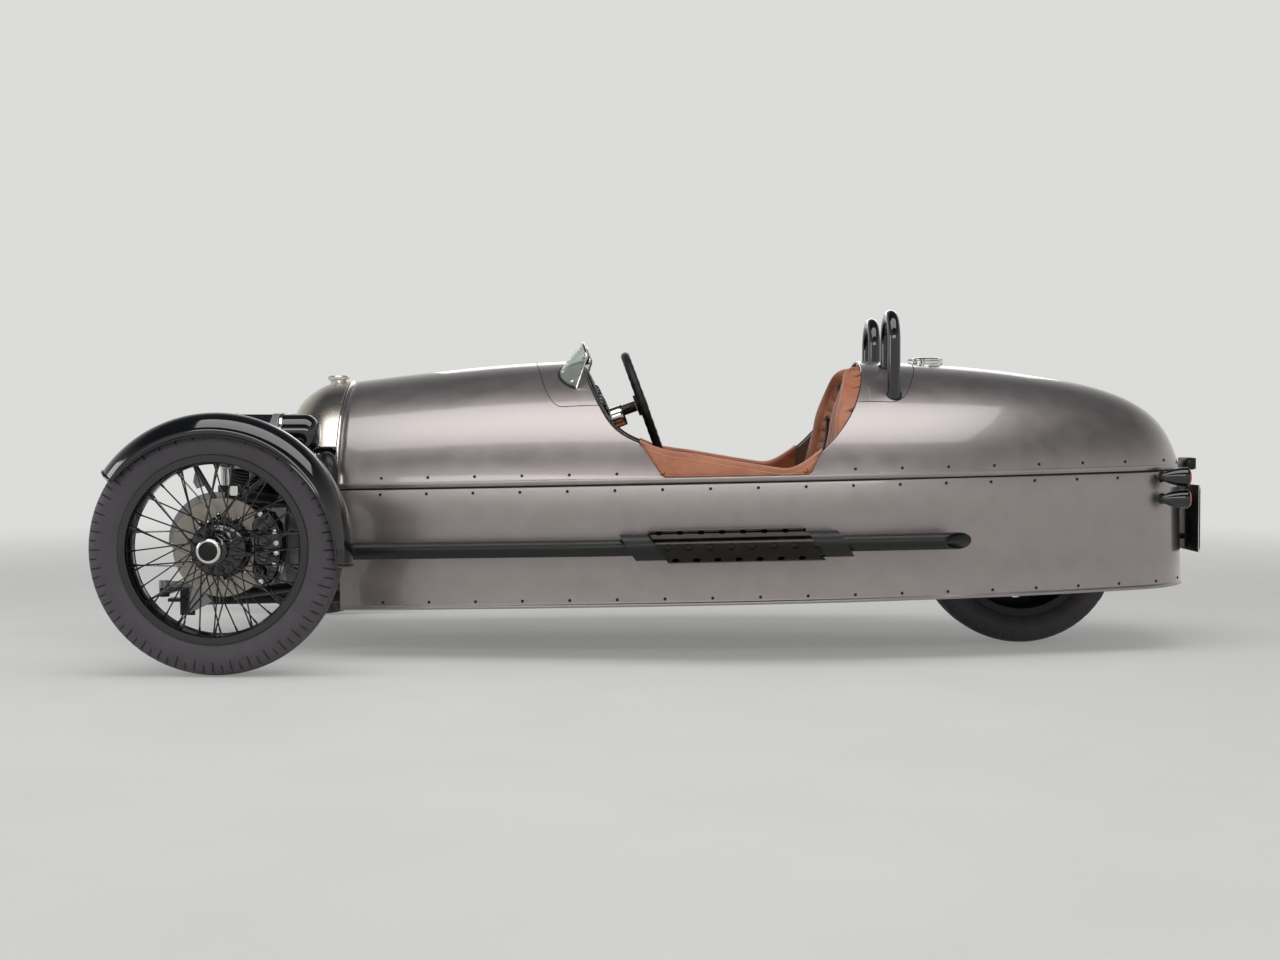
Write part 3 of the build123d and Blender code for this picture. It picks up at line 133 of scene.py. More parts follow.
def tube(path, radius, sides, closed=False):
    """Round bar along a path; the radius may change from point to point."""
    path = [Vector(p) for p in path]
    count = len(path)
    radii = np.broadcast_to(np.asarray(radius, float), count)
    across, rings = None, []
    for i, point in enumerate(path):
        ahead = path[(i + 1) % count] if closed or i < count - 1 else point
        behind = path[i - 1] if closed or i > 0 else point
        along = (ahead - behind).normalized()
        if across is None:
            across = along.orthogonal().normalized()
        across = (across - along * across.dot(along)).normalized()
        other = along.cross(across)
        angles = [2 * pi * j / sides for j in range(sides)]
        rings.append([point + (across * cos(a) + other * sin(a)) * radii[i] for a in angles])
    verts, faces = over(rings, wrap_rows=closed, wrap_columns=True)
    if not closed:
        faces += [tuple(range(sides))[::-1], tuple((count - 1) * sides + j for j in range(sides))]
    return verts, faces


def turned(profile, centre, axis, steps):
    """Turned form: profile of (along the axis, radius) about a line through the centre."""
    centre, axis = Vector(centre), Vector(axis).normalized()
    out = Vector(UPWARD) if abs(axis.z) < 0.9 else Vector(AHEAD)
    out = (out - axis * out.dot(axis)).normalized()
    side = axis.cross(out)
    angles = [2 * pi * i / steps for i in range(steps)]
    rings = [[centre + axis * a + (out * cos(t) + side * sin(t)) * r for a, r in profile] for t in angles]
    return over(rings, wrap_rows=True)


def domes(places, radius, height):
    """Small round heads, each at a point with its outward direction."""
    bits = Shape()
    for point, out in places:
        profile = [(-0.3 * height, radius), (0.25 * height, radius * 0.96), (0.72 * height, radius * 0.66),
                   (0.96 * height, radius * 0.25), (height, 0.0001)]
        bits.add(*turned(profile, point, out, 10))
    return bits


def hexagons(places, radius, height):
    """Six-sided bolt heads with a washer, each at a point with its outward direction."""
    bits = Shape()
    for point, out in places:
        bits.add(*turned([(0, radius * 1.3), (height * 0.25, radius * 1.3), (height * 0.25, 0.0001)],
                         point, out, 14))
        bits.add(*turned([(height * 0.2, radius), (height, radius), (height * 1.1, radius * 0.8),
                          (height * 1.1, 0.0001)], point, out, 6))
    return bits


CORNER_STEPS = 5


def oblong(width, height, radius):
    """Outline of a rectangle with round corners."""
    line = []
    for across, up, first in ((1, 1, 0), (-1, 1, 90), (-1, -1, 180), (1, -1, 270)):
        for i in range(CORNER_STEPS + 1):
            a = radians(first + 90 * i / CORNER_STEPS)
            line.append((across * (width / 2 - radius) + radius * cos(a),
                         up * (height / 2 - radius) + radius * sin(a)))
    return line


def strap(path, across, width, thickness):
    """Flat webbing along a path, its width lying one way all along."""
    path, across = [Vector(p) for p in path], Vector(across).normalized()
    rows = []
    for i, point in enumerate(path):
        along = (path[min(i + 1, len(path) - 1)] - path[max(i - 1, 0)]).normalized()
        up = along.cross(across).normalized() * thickness / 2
        side = across * width / 2
        rows.append([point + side + up, point - side + up, point - side - up, point + side - up])
    return over(rows, wrap_columns=True)


STITCH_PITCH, STITCH_LENGTH, THREAD_R = 0.0085, 0.0055, 0.0008


def stitches(path):
    """Short thread bars along a path."""
    path = np.asarray([tuple(p) for p in path], float)
    run = run_along(path)
    bits = Shape()
    for start in np.arange(0, run[-1] - STITCH_LENGTH, STITCH_PITCH):
        ends = [[np.interp(d, run, column) for column in path.T] for d in (start, start + STITCH_LENGTH)]
        bits.bar(ends, THREAD_R, sides=5)
    return bits


class Shape:
    """Vertices and faces gathered for one piece."""

    def __init__(self):
        self.verts, self.faces = [], []

    def add(self, verts, faces):
        """Adds vertices and the faces between them."""
        base = len(self.verts)
        self.verts += [tuple(v) for v in verts]
        self.faces += [[base + i for i in face] for face in faces]
        return self

    def join(self, shape):
        """Adds all of another shape."""
        return self.add(shape.verts, shape.faces)

    def skin(self, points, **wraps):
        """Adds the faces of a grid of points."""
        return self.add(*over(points, **wraps))

    def block(self, rows):
        """Adds rings of points as a closed form with flat ends."""
        verts, faces = over(rows, wrap_columns=True)
        ring = len(rows[0])
        return self.add(verts,
                        faces + [tuple(range(ring)), tuple(len(verts) - ring + i for i in range(ring))])

    def turn(self, profile, centre, axis, steps):
        """Adds a form turned from a profile in millimetres."""
        return self.add(*turned([(a * MM, r * MM) for a, r in profile], centre, axis, steps))

    def bar(self, path, radius, **make):
        """Adds a round bar along a path."""
        return self.add(*tube(path, radius, **make))

    def plate(self, outline, origin, u, v, thickness, bevel):
        """Adds a flat piece: an outline in mm along u and v, raised square to them, its edges eased."""
        origin, u, v = Vector(origin), Vector(u).normalized(), Vector(v).normalized()
        w = u.cross(v)
        points = np.asarray(outline, float)
        after = np.roll(points, -1, axis=0)
        if np.sum(points[:, 0] * after[:, 1] - after[:, 0] * points[:, 1]) < 0:
            points = points[::-1]
            after = np.roll(points, -1, axis=0)
        edge = (after - points) / np.linalg.norm(after - points, axis=1)[:, None]
        out = np.stack([edge[:, 1], -edge[:, 0]], axis=1)
        before = np.roll(out, 1, axis=0)
        mitre = (out + before) / (1 + np.sum(out * before, axis=1))[:, None]
        rows = []
        for inset, rise in ((bevel, 0), (0, bevel), (0, thickness - bevel), (bevel, thickness)):
            rows.append([origin + (u * a + v * b + w * rise) * MM for a, b in points - mitre * inset])
        return self.block(rows)

    def mirrored(self):
        """The same on the other side of the car only."""
        return Shape().add([(x, -y, z) for x, y, z in self.verts], [face[::-1] for face in self.faces])

    def both(self):
        """Adds the same again on the other side of the car."""
        return self.join(self.mirrored())

    def on(self, side):
        """The shape as it stands on the left, or its mirror image for the right."""
        return self if side == "left" else self.mirrored()

    def piece(self, name, finish, body="car_body", crease=SHARP, stands_for=(), slot=None):
        """Makes the gathered faces one named piece that rides on a body."""
        mesh = bpy.data.meshes.new(name)
        mesh.from_pydata(self.verts, [], self.faces)
        work = bmesh.new()
        work.from_mesh(mesh)
        bmesh.ops.remove_doubles(work, verts=work.verts, dist=WELD)
        bmesh.ops.recalc_face_normals(work, faces=work.faces)
        work.to_mesh(mesh)
        work.free()
        mesh.polygons.foreach_set("use_smooth", [True] * len(mesh.polygons))
        mesh.set_sharp_from_angle(angle=radians(crease))
        mesh.materials.append(finish)
        made = bpy.data.objects.new(name, mesh)
        bpy.context.scene.collection.objects.link(made)
        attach(made, body)
        if stands_for:
            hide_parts(*stands_for)
        return made


def thicken(made, thickness, both_ways=False):
    """Gives a skin a wall: inward, or half to each side."""
    wall = made.modifiers.new("wall", "SOLIDIFY")
    wall.thickness, wall.offset = thickness, 0.0 if both_ways else -1.0


# Finishes

def linear(code):
    """Linear colour of an sRGB hex value."""
    parts = [int(code[i:i + 2], 16) / 255 for i in (1, 3, 5)]
    return tuple(c / 12.92 if c <= 0.04045 else ((c + 0.055) / 1.055) ** 2.4 for c in parts) + (1.0,)


def add(tree, kind, sockets=None, **settings):
    """One node: settings are its properties, sockets take values or (node, output) pairs."""
    made = tree.nodes.new(kind)
    for key, value in settings.items():
        setattr(made, key, value)
    for key, value in (sockets or {}).items():
        if isinstance(value, tuple) and isinstance(value[0], bpy.types.Node):
            tree.links.new(value[0].outputs[value[1]], made.inputs[key])
        else:
            made.inputs[key].default_value = value
    return made


def finish(name, dark, light, rough, spread, patch_mm, grain_mm, depth_mm, pattern="NOISE",
           stretch=(1, 1, 1), **shader):
    """Surface whose colour and gloss drift over patches and whose grain stands up as fine relief."""
    made = bpy.data.materials.new(name)
    made.use_nodes = True
    tree = made.node_tree
    surface = tree.nodes["Principled BSDF"]
    place = add(tree, "ShaderNodeTexCoord")
    drawn = add(tree, "ShaderNodeMapping", {"Vector": (place, "Object"), "Scale": stretch})
    patches = add(tree, "ShaderNodeTexNoise",
                  {"Vector": (drawn, "Vector"), "Scale": 1000 / patch_mm, "Detail": 5.0})
    tint = add(tree, "ShaderNodeValToRGB", {"Fac": (patches, "Fac")})
    tint.color_ramp.elements[0].position, tint.color_ramp.elements[0].color = 0.3, linear(dark)
    tint.color_ramp.elements[1].position, tint.color_ramp.elements[1].color = 0.7, linear(light)
    gloss = add(tree, "ShaderNodeMapRange", {"Value": (patches, "Fac"), "From Min": 0.3, "From Max": 0.7,
                                             "To Min": rough - spread, "To Max": rough + spread})
    if pattern == "CELLS":
        grain = add(tree, "ShaderNodeTexVoronoi", {"Vector": (drawn, "Vector"), "Scale": 1000 / grain_mm},
                    feature="SMOOTH_F1")
        height = (grain, "Distance")
    else:
        grain = add(tree, "ShaderNodeTexNoise",
                    {"Vector": (drawn, "Vector"), "Scale": 1000 / grain_mm, "Detail": 3.0})
        height = (grain, "Fac")
    relief = add(tree, "ShaderNodeBump", {"Height": height, "Distance": depth_mm * MM, "Strength": 1.0})
    tree.links.new(tint.outputs["Color"], surface.inputs["Base Color"])
    tree.links.new(gloss.outputs["Result"], surface.inputs["Roughness"])
    tree.links.new(relief.outputs["Normal"], surface.inputs["Normal"])
    for key, value in shader.items():
        surface.inputs[key.replace("_", " ")].default_value = value
    return made


# Flake, brush lines, grain, thread and grit finer than about 0.8 mm would not show in the render,
# so they are drawn coarser than life, at 0.8 to 2.4 mm

# Sprayed metallic lacquer over aluminium: flakes glint under a clear coat that mirrors the lights sharply
PEWTER = finish("metallic_pewter_lacquer", "#958d8b", "#9c9492", 0.34, 0.03, 60, 1.2, 0.012,
                Metallic=0.82, Coat_Weight=0.8, Coat_Roughness=0.05)
# Nickel plate, satin: soft warm mirror with fine drawn lines
NICKEL = finish("satin_nickel_plate", "#c9c1b4", "#d8d0c4", 0.27, 0.05, 80, 0.9, 0.006,
                stretch=(1, 1, 0.3), Metallic=1.0)
# Polished steel: near mirror with faint wipe marks
POLISHED = finish("polished_steel", "#d2d0cc", "#dedcd8", 0.12, 0.04, 30, 2.0, 0.004, Metallic=1.0)
# Gloss enamel on pressed steel: deep black under a hard reflection, slightly rippled
GLOSS_BLACK = finish("black_gloss_enamel", "#08080a", "#0d0d10", 0.1, 0.03, 90, 14.0, 0.02, Coat_Weight=0.6,
                     Coat_Roughness=0.03)
# Stoved satin enamel on hot pipes: dull black, a little brown where it has baked
SATIN_BLACK = finish("satin_stoved_enamel", "#121111", "#1a1817", 0.38, 0.07, 45, 1.5, 0.03,
                     Specular_IOR_Level=0.38)
# Powder coat: even dark skin with fine orange peel
POWDER = finish("black_powder_coat", "#0d0d0f", "#141417", 0.36, 0.05, 40, 2.2, 0.04, Specular_IOR_Level=0.32)
# Sand-cast alloy, bead blasted: pale, matt, faintly pitted
CAST_ALLOY = finish("bead_blasted_cast_alloy", "#8e8e90", "#a5a5a6", 0.46, 0.06, 26, 1.4, 0.06, Metallic=0.9)
# Machined alloy covers: bright, finely brushed
ALLOY = finish("brushed_machined_alloy", "#b4b4b6", "#c6c6c6", 0.3, 0.05, 40, 0.9, 0.012,
               stretch=(0.25, 1, 1), Metallic=0.7)
# Dark stainless sheet, polished: mirrors the lights in long bands
DARK_STEEL = finish("polished_dark_stainless", "#2a2826", "#32302d", 0.14, 0.05, 50, 1.4, 0.006, Metallic=1.0)
# Waxed linen thread: pale against the hide
THREAD = finish("waxed_linen_thread", "#c9a987", "#d8bb9b", 0.6, 0.05, 6, 0.8, 0.05)
# Dark waxed thread pulled down into a fold, as painted shadow: its dark colour paints the fold's shadow line
FOLD_SHADOW_THREAD = finish("painted_fold_shadow_thread", "#3a2016", "#4a2a1d", 0.7, 0.04, 6, 0.8, 0.05)
# Cast iron barrel in heat-proof black: dry and grainy
BARREL_BLACK = finish("heatproof_black_iron", "#1b1b1c", "#262627", 0.55, 0.06, 20, 1.6, 0.08)
# Ground steel disc: bright but dull, lightly clouded by the pads
DISC_STEEL = finish("ground_disc_steel", "#9d968c", "#aea79d", 0.36, 0.06, 16, 0.8, 0.01, Metallic=1.0)
# Vegetable-tanned hide: pebbled grain, warmer in patches, a soft waxed sheen
HIDE = finish("waxed_tan_hide", "#9a5a3c", "#b5714f", 0.46, 0.06, 55, 2.4, 0.22, pattern="CELLS",
              Sheen_Weight=0.12)
# Black hide on rims and rolls: the same grain, nearly dry
BLACK_HIDE = finish("black_hide", "#121111", "#1b1918", 0.5, 0.06, 40, 2.2, 0.2, pattern="CELLS",
                    Specular_IOR_Level=0.35)
# Vulcanised tyre rubber: grey bloom over black, dull
RUBBER = finish("vulcanised_rubber", "#474347", "#524d52", 0.62, 0.06, 38, 1.3, 0.05)
# Extruded seal rubber: flat black
SEAL = finish("extruded_seal_rubber", "#0c0c0c", "#141414", 0.7, 0.05, 30, 1.2, 0.03)
# Needle-felt carpet: tufted and dark, without gloss
CARPET = finish("needle_felt_carpet", "#18171a", "#2a282b", 0.95, 0.03, 9, 1.8, 0.6)
# Woven belt webbing: coarse thread grain, dull black
WEBBING = finish("woven_webbing", "#121213", "#1e1e20", 0.7, 0.05, 12, 1.6, 0.15)
# Screen-printed dial card: warm off-white, matt, as the plugs' ceramic looks too
DIAL = finish("printed_dial_card", "#d9d4c6", "#e4dfd2", 0.5, 0.03, 30, 1.0, 0.004)
# Reflective sheet of the blank plate: cool white with a low gloss
PLATE = finish("reflective_plate_sheet", "#dcdcd6", "#e6e6e0", 0.35, 0.03, 25, 0.9, 0.01)
# Moulded acrylic lens: deep orange under a clear gloss
AMBER = finish("amber_acrylic", "#b2421a", "#c9552a", 0.15, 0.03, 20, 3.0, 0.05, Coat_Weight=0.5)
# Turned copper rivets: small warm glints on the hide
COPPER = finish("copper_rivet", "#a2603f", "#b87150", 0.28, 0.05, 6, 0.8, 0.01, Metallic=1.0)
# Radiator matrix, stacked black fins: dusty and dark, in fine level lines
MATRIX = finish("dusty_black_matrix", "#1a1a1b", "#2b2b2c", 0.6, 0.06, 14, 3.0, 0.5, stretch=(1, 1, 4))
# Cast acrylic screen: clear and glossy with a faint green tint
GLASS = finish("clear_screen_acrylic", "#dfe8e2", "#e9f0ea", 0.05, 0.01, 60, 30.0, 0.01,
               Transmission_Weight=0.86, IOR=1.3)
# Pressed lamp glass: clear, its slow ripples bend the bright bowl behind
LAMP_GLASS = finish("ribbed_lamp_glass", "#eef2f4", "#f6f8fa", 0.05, 0.01, 20, 9.0, 0.2,
                    Transmission_Weight=1.0, IOR=1.5)


# Body

def in_body(x, y, z):
    """A place in the raked body, millimetres in, metres out."""
    return Vector(((x * cos(RAKE) + z * sin(RAKE) - RAKE_SHIFT) * MM, y * MM,
                   (z * cos(RAKE) - x * sin(RAKE)) * MM))


rise_at = spline([sqrt(x - STERN_X) for x, rise in TOP_LINE[::-1]], [rise for x, rise in TOP_LINE[::-1]])


def top_rise(x):
    """Height of the crown above the belt at a station."""
    return max(float(rise_at(sqrt(max(x - STERN_X, 0.0)))), BELT_GAP + 0.6)


def half_width(x):
    """Half width of the plan: side arc, quarter arc, round stern."""
    if x >= WAIST_X:
        return WAIST_HALF - SIDE_R + sqrt(SIDE_R ** 2 - (x - WAIST_X) ** 2)
    if x >= STERN_MID + STERN_R * QUARTER_COS:
        return WAIST_HALF - QUARTER_R + sqrt(QUARTER_R ** 2 - (x - WAIST_X) ** 2)
    return sqrt(max(STERN_R ** 2 - (x - STERN_MID) ** 2, 0.3))


def arch(half, rise):
    """Radius, middle height and half angle of the round back over one station."""
    h = rise - BELT_GAP
    r = (half * half + h * h) / (2 * h)
    return r, BELT_Z + rise - r, atan2(half, r - h)


def on_arch(x, share, grow=0.0):
    """Place on the upper body: share 0 at the crown, 1 at the belt."""
    r, middle, angle = arch(half_width(x), top_rise(x))
    return in_body(x, (r + grow) * sin(angle * share), middle + (r + grow) * cos(angle * share))


edge_line = through(COCKPIT_EDGE[::-1], 150)
edge_x = np.maximum.accumulate(edge_line[:, 0])


def cut_share(x):
    """Where the cockpit's edge crosses a station, as a share from crown to belt."""
    if not edge_x[0] < x < edge_x[-1]:
        return 0.0
    r, middle, angle = arch(half_width(x), top_rise(x))
    level = (float(np.interp(x, edge_x, edge_line[:, 1])) - middle) / r
    return acos(level) / angle if level < 1 else 0.0


def share_at_height(x, z):
    """Share from crown to belt at which a station's skin has a height."""
    r, middle, angle = arch(half_width(x), top_rise(x))
    return acos(max(-1.0, min(1.0, (z - middle) / r))) / angle


stern_steps = STERN_MID - STERN_R * np.sin(np.linspace(0, pi / 2, 46))
stations = np.concatenate([np.linspace(STERN_MID, NOSE_X, 96)[1:], edge_x, stern_steps])
stations = np.unique(np.round(stations, 1))[::-1]
ROWS = 34
half_shell = []
for x in stations:
    cut = cut_share(x)
    half_shell.append([on_arch(x, cut + (1 - cut) * i / ROWS) for i in range(ROWS + 1)])
upper_body = Shape().skin(half_shell).both().piece(
    "upper_body", PEWTER, stands_for=("bonnet", "tail_deck"), slot="body_paint", crease=EASED)
thicken(upper_body, BODY_WALL)


def side_line(count):
    """Left half of the plan, nose to stern, with the outward direction at each place."""
    line = []
    for x in np.linspace(NOSE_X, WAIST_X, count):
        a = atan2(half_width(x) - WAIST_HALF + SIDE_R, x - WAIST_X)
        line.append((x, half_width(x), cos(a), sin(a)))
    last = STERN_MID + STERN_R * QUARTER_COS
    for x in np.linspace(WAIST_X, last, count)[1:]:
        a = atan2(half_width(x) - WAIST_HALF + QUARTER_R, x - WAIST_X)
        line.append((x, half_width(x), cos(a), sin(a)))
    for a in np.linspace(atan2(QUARTER_SIN, QUARTER_COS), pi, count)[1:]:
        line.append((STERN_MID + STERN_R * cos(a), STERN_R * sin(a), cos(a), sin(a)))
    return line


plan = side_line(48)


def band(profile):
    """A profile of (out from the plan, height), closed, carried from the nose to the stern on the left."""
    rows = [[in_body(x + nx * out, y + ny * out, z) for out, z in profile] for x, y, nx, ny in plan]
    verts, faces = over(rows, wrap_columns=True)
    count = len(profile)
    faces.append(tuple(range(count)))
    return Shape().add(verts, faces)


side_panel = band([(-22, 506), (-3, 506.6), (-0.8, 505.8), (0, 504), (0, 420), (0, 330), (0, 240),
                   (0, 171), (0.6, 168.6), (3.0, 166.6), (4.2, 163.5), (4.2, 160), (3.0, 157.6),
                   (0, 157.2), (-22, 157.2)])
for side in SIDES:
    side_panel.on(side).piece("side_panel_" + side, PEWTER, stands_for=("body_side_" + side,),
                              slot="body_paint", crease=EASED)
belt_flange = band([(-2, 512.6), (1.2, 512.4), (2.2, 513.6), (2.2, 524.4), (1.2, 526.2), (-5, 526.6)])
belt_flange.both().piece("belt_flange", PEWTER, slot="body_paint", crease=EASED)


def rivet_rows(rows, first, pitch):
    """Places along the plan at an even pitch, at each row's height and standing out."""
    run = run_along([place[:2] for place in plan])
    places = []
    for step in np.arange(first, run[-1], pitch):
        x, y, nx, ny = (float(np.interp(step, run, [p[i] for p in plan])) for i in range(4))
        for out, z in rows:
            middle = in_body(x + nx * out, y + ny * out, z)
            places.append((middle, (in_body(x + nx, y + ny, z) - in_body(x, y, z)).normalized()))
    return places


RIVET_PITCH, RIVET_R, RIVET_RISE = 137.0, 0.0048, 0.0032
lower_rivets = rivet_rows([(0, 493), (0, 179)], 128.7, RIVET_PITCH)
domes(lower_rivets, RIVET_R, RIVET_RISE).both().piece("side_rivets", POWDER, slot="black_steel", crease=ROUND)
COCKPIT_REAR, COCKPIT_FRONT = -400, 60
upper_places = []
for x in np.arange(NOSE_X - 131.0, STERN_X + 40, -RIVET_PITCH):
    if COCKPIT_REAR < x < COCKPIT_FRONT:
        continue
    share = share_at_height(x, BELT_Z + 33)
    point = on_arch(x, share)
    upper_places.append((point, (on_arch(x, share, 5.0) - point).normalized()))
domes(upper_places, RIVET_R, RIVET_RISE).both().piece("shoulder_rivets", POWDER, slot="black_steel",
                                                      crease=ROUND)

# Seams where panels meet, as thin dark lines: station and share from crown to belt
SEAMS = [[(437, 0.0), (436, 0.076), (416, 0.324), (394, 0.491), (378, 0.553), (357, 0.591), (330, 0.596),
          (295, 0.594), (239, 0.595)],
         [(-722, 0.0), (-722, 0.154), (-710, 0.314), (-691, 0.429), (-674, 0.507), (-653, 0.557),
          (-639, 0.573), (-589, 0.579), (-524, 0.585)]]
SEAM_REACH = 600.0
seams = Shape()
for line in SEAMS:
    spread = through([(x, share * SEAM_REACH) for x, share in line], 60)
    seams.bar([on_arch(x, reach / SEAM_REACH) for x, reach in spread], 0.0011, sides=6)
seams.both().piece("panel_seams", SEAL, slot="black_steel", crease=ROUND)

# Radiator cowl: a nickel dome over the radiator, open below its lower edge
COWL_LOW = 634.0
cowl_x = np.concatenate([np.linspace(1008, 1140, 16), np.linspace(1145, 1193, 16)])
cowl_rise = spline([s[0] for s in COWL], [s[1] for s in COWL])
cowl_half = spline([s[0] for s in COWL], [s[2] for s in COWL])


def cowl_arch(x, low, grow=0.0):
    """Points over the cowl at a station, down to a height on both sides."""
    r, middle, angle = arch(float(cowl_half(x)), float(cowl_rise(x)))
    reach = min(angle, acos((low - middle) / r))
    return [in_body(x, (r + grow) * sin(reach * t), middle + (r + grow) * cos(reach * t))
            for t in np.linspace(-1, 1, 73)]


cowl_rows = [cowl_arch(x, COWL_LOW) for x in cowl_x]
cowl = Shape().skin(cowl_rows).skin([[row[0], row[-1]] for row in cowl_rows])
cowl = cowl.piece("nickel_cowl", NICKEL, stands_for=("radiator_cowl",), slot="nickel", crease=CRISP)
thicken(cowl, COWL_WALL)
beads = Shape()
beads.bar(cowl_arch(1009.0, BELT_Z + BELT_GAP, -1.0), 0.0052, sides=10)
beads.bar(cowl_arch(1192.0, COWL_LOW), 0.005, sides=10)
for side in (0, -1):
    beads.bar([row[side] for row in cowl_rows], 0.004, sides=8)
beads.piece("cowl_beads", POLISHED, slot="polished", crease=ROUND)

# Wheels


def wheel_place(x, y, r):
    """Point maker for a wheel: outward from its middle plane, radius, turn."""
    def at(out, radius, turn):
        return mm(x + radius * cos(turn), y + out, r + radius * sin(turn))
    return at


def tyre(profile, place, turns, cut):
    """Tyre of a profile of (across, radius), cut into by the tread where cut says so."""
    rows = []
    for i in range(turns):
        turn = 2 * pi * i / turns
        row = []
        for out, radius in profile:
            deep = cut(i, out, radius)
            row.append(place(out * (1 - deep * 0.012), radius - deep * (0.35 if radius < 332 else 1.0), turn))
        rows.append(row)
    return Shape().skin(rows, wrap_rows=True, wrap_columns=True)


def front_profile():
    """Section of a narrow, tall tyre, bead to bead over the crown."""
    side = [(-41.6, 256), (-45.0, 262), (-50.5, 274), (-53.6, 288), (-54.0, 298), (-53.0, 308),
            (-50.6, 317), (-47.6, 323.5), (-44.4, 328), (-40.6, 331.4)]
    crown = [(out, 342.0 - 11.0 * (out / 41.0) ** 2) for out in np.linspace(-36, 36, 31)]
    return side + crown + [(-out, radius) for out, radius in reversed(side)] + [(30, 243), (-30, 243)]


FRONT_GROOVES, FRONT_GROOVE_HALF, FRONT_GROOVE_DEPTH = (12.0, 26.4), 1.3, 4.0
FRONT_SIPE_STEP, FRONT_SIPE_DEPTH, FRONT_BLOCK_DEPTH = 9, 7.0, 2.2


def front_cut(i, out, radius):
    """Depth of the tread's cut at a place: ring grooves, long and short sipes, cuts between blocks."""
    off_groove = min(abs(abs(out) - groove) for groove in FRONT_GROOVES)
    ring = FRONT_GROOVE_DEPTH if off_groove < FRONT_GROOVE_HALF else 0.0
    on_shoulder = (312 if i % 2 else 304) < radius < 332.5 and abs(out) > 38
    sipe = FRONT_SIPE_DEPTH if i % FRONT_SIPE_STEP == 0 and on_shoulder else 0.0
    block = FRONT_BLOCK_DEPTH if (i + 4) % FRONT_SIPE_STEP == 0 and 14 < abs(out) < 25 else 0.0
    return max(ring, sipe, block)


SPOKES = [
    # hub side, hub radius, rim side, sweep, first angle as a share of the pitch
    (54.2, 35.0, 12.0, 40.0, 0.0),
    (49.8, 35.0, 6.0, -40.0, 0.5),
    (-15.8, 69.0, -6.0, 34.0, 0.25),
    (-20.2, 69.0, -12.0, -34.0, 0.75),
]
SPOKE_PAIRS, SPOKE_R, SPOKE_SEAT = 14, 0.0021, 231.5
NIPPLE_LENGTH, NIPPLE_R = 0.016, (0.0034, 0.0028)
place = wheel_place(FRONT_X, WHEEL_Y, FRONT_R)
front_tyre = tyre(front_profile(), place, 720, front_cut)
centre, outward = (FRONT_X * MM, WHEEL_Y * MM, FRONT_R * MM), ASIDE

rim = Shape().turn([(-45, 233), (-44, 255), (-42.5, 256), (-41.6, 254), (-41.2, 244), (-36, 241.5),
                    (-24, 240.5), (-16, 236), (16, 236), (24, 240.5), (36, 241.5), (41.2, 244),
                    (41.6, 254), (42.5, 256), (44, 255), (45, 250), (44, 236), (41, 233.6), (26, 232.6),
                    (17, 229.5), (-17, 229.5), (-26, 232.6), (-41, 233.6), (-45, 233)],
                   centre, outward, 128)
rim.turn([(-22, 15.2), (-22, 74), (-15, 74), (-12, 71), (-10, 58), (-6, 46), (0, 37), (8, 30), (40, 27),
          (45, 31), (48, 40), (56, 40), (57.5, 36), (62, 29.5), (69, 29.5)], centre, outward, 64)
for hub_y, hub_r, rim_y, sweep, first in SPOKES:
    for i in range(SPOKE_PAIRS):
        a = radians((first + i) * 360 / SPOKE_PAIRS)
        b = a + radians(sweep)
        start, end = place(hub_y, hub_r, a), place(rim_y, SPOKE_SEAT, b)
        rim.bar([start, end], SPOKE_R, sides=7)
        nipple = end + (start - end).normalized() * NIPPLE_LENGTH
        rim.bar([end, nipple], NIPPLE_R, sides=8)
spinner = Shape().turn([(69, 29), (69, 34), (72, 34.5), (88, 34), (92, 32.6), (94.5, 29), (94.5, 25.5),
                        (91, 24.4)], centre, outward, 48)
cap = Shape().turn([(91.5, 24.6), (92.6, 23), (93.4, 12), (93.6, 0.1)], centre, outward, 40)
for side in SIDES:
    body = "front_wheel_" + side
    front_tyre.on(side).piece("road_tyre_" + side, RUBBER, body, CRISP, ("front_tyre_" + side,),
                              "tyre_rubber")
    rim.on(side).piece("laced_wheel_" + side, GLOSS_BLACK, body, CRISP, ("wire_wheel_" + side,), "rim_black")
    spinner.on(side).piece("hub_ring_" + side, POLISHED, body, CRISP, slot="polished")
    cap.on(side).piece("hub_cap_" + side, POWDER, body, CRISP, slot="rim_black")

rear_place = wheel_place(REAR_X, 0.0, REAR_R)


def rear_profile():
    """Section of a broad, low tyre."""
    side = [(-76.5, 219), (-81, 226), (-88, 238), (-91.5, 250), (-92, 258), (-90.5, 268), (-87, 279),
            (-82, 288), (-76, 294.5), (-68, 299)]
    tread = [(out, 302.0 - 2.0 * (out / 62.0) ** 4) for out in np.linspace(-61, 61, 37)]
    return side + tread + [(-out, radius) for out, radius in reversed(side)] + [(60, 205), (-60, 205)]


REAR_GROOVES, REAR_GROOVE_HALF, REAR_GROOVE_DEPTH = (20.3, 47.4), 2.6, 5.0
REAR_SIPE_STEP, REAR_SIPE_DEPTH = 6, 3.0


def rear_cut(i, out, radius):
    """Depth of the broad tread's cut at a place: ring grooves and sipes."""
    off_groove = min(abs(abs(out) - groove) for groove in REAR_GROOVES)
    ring = REAR_GROOVE_DEPTH if off_groove < REAR_GROOVE_HALF else 0.0
    on_rib = abs(out) > 66 and radius > 272 or 24 < abs(out) < 44
    sipe = REAR_SIPE_DEPTH if i % REAR_SIPE_STEP == 0 and on_rib else 0.0
    return max(ring, sipe)


tyre(rear_profile(), rear_place, 360, rear_cut).piece(
    "road_tyre_rear", RUBBER, "rear_wheel_body", CRISP, ("rear_tyre",), "tyre_rubber")

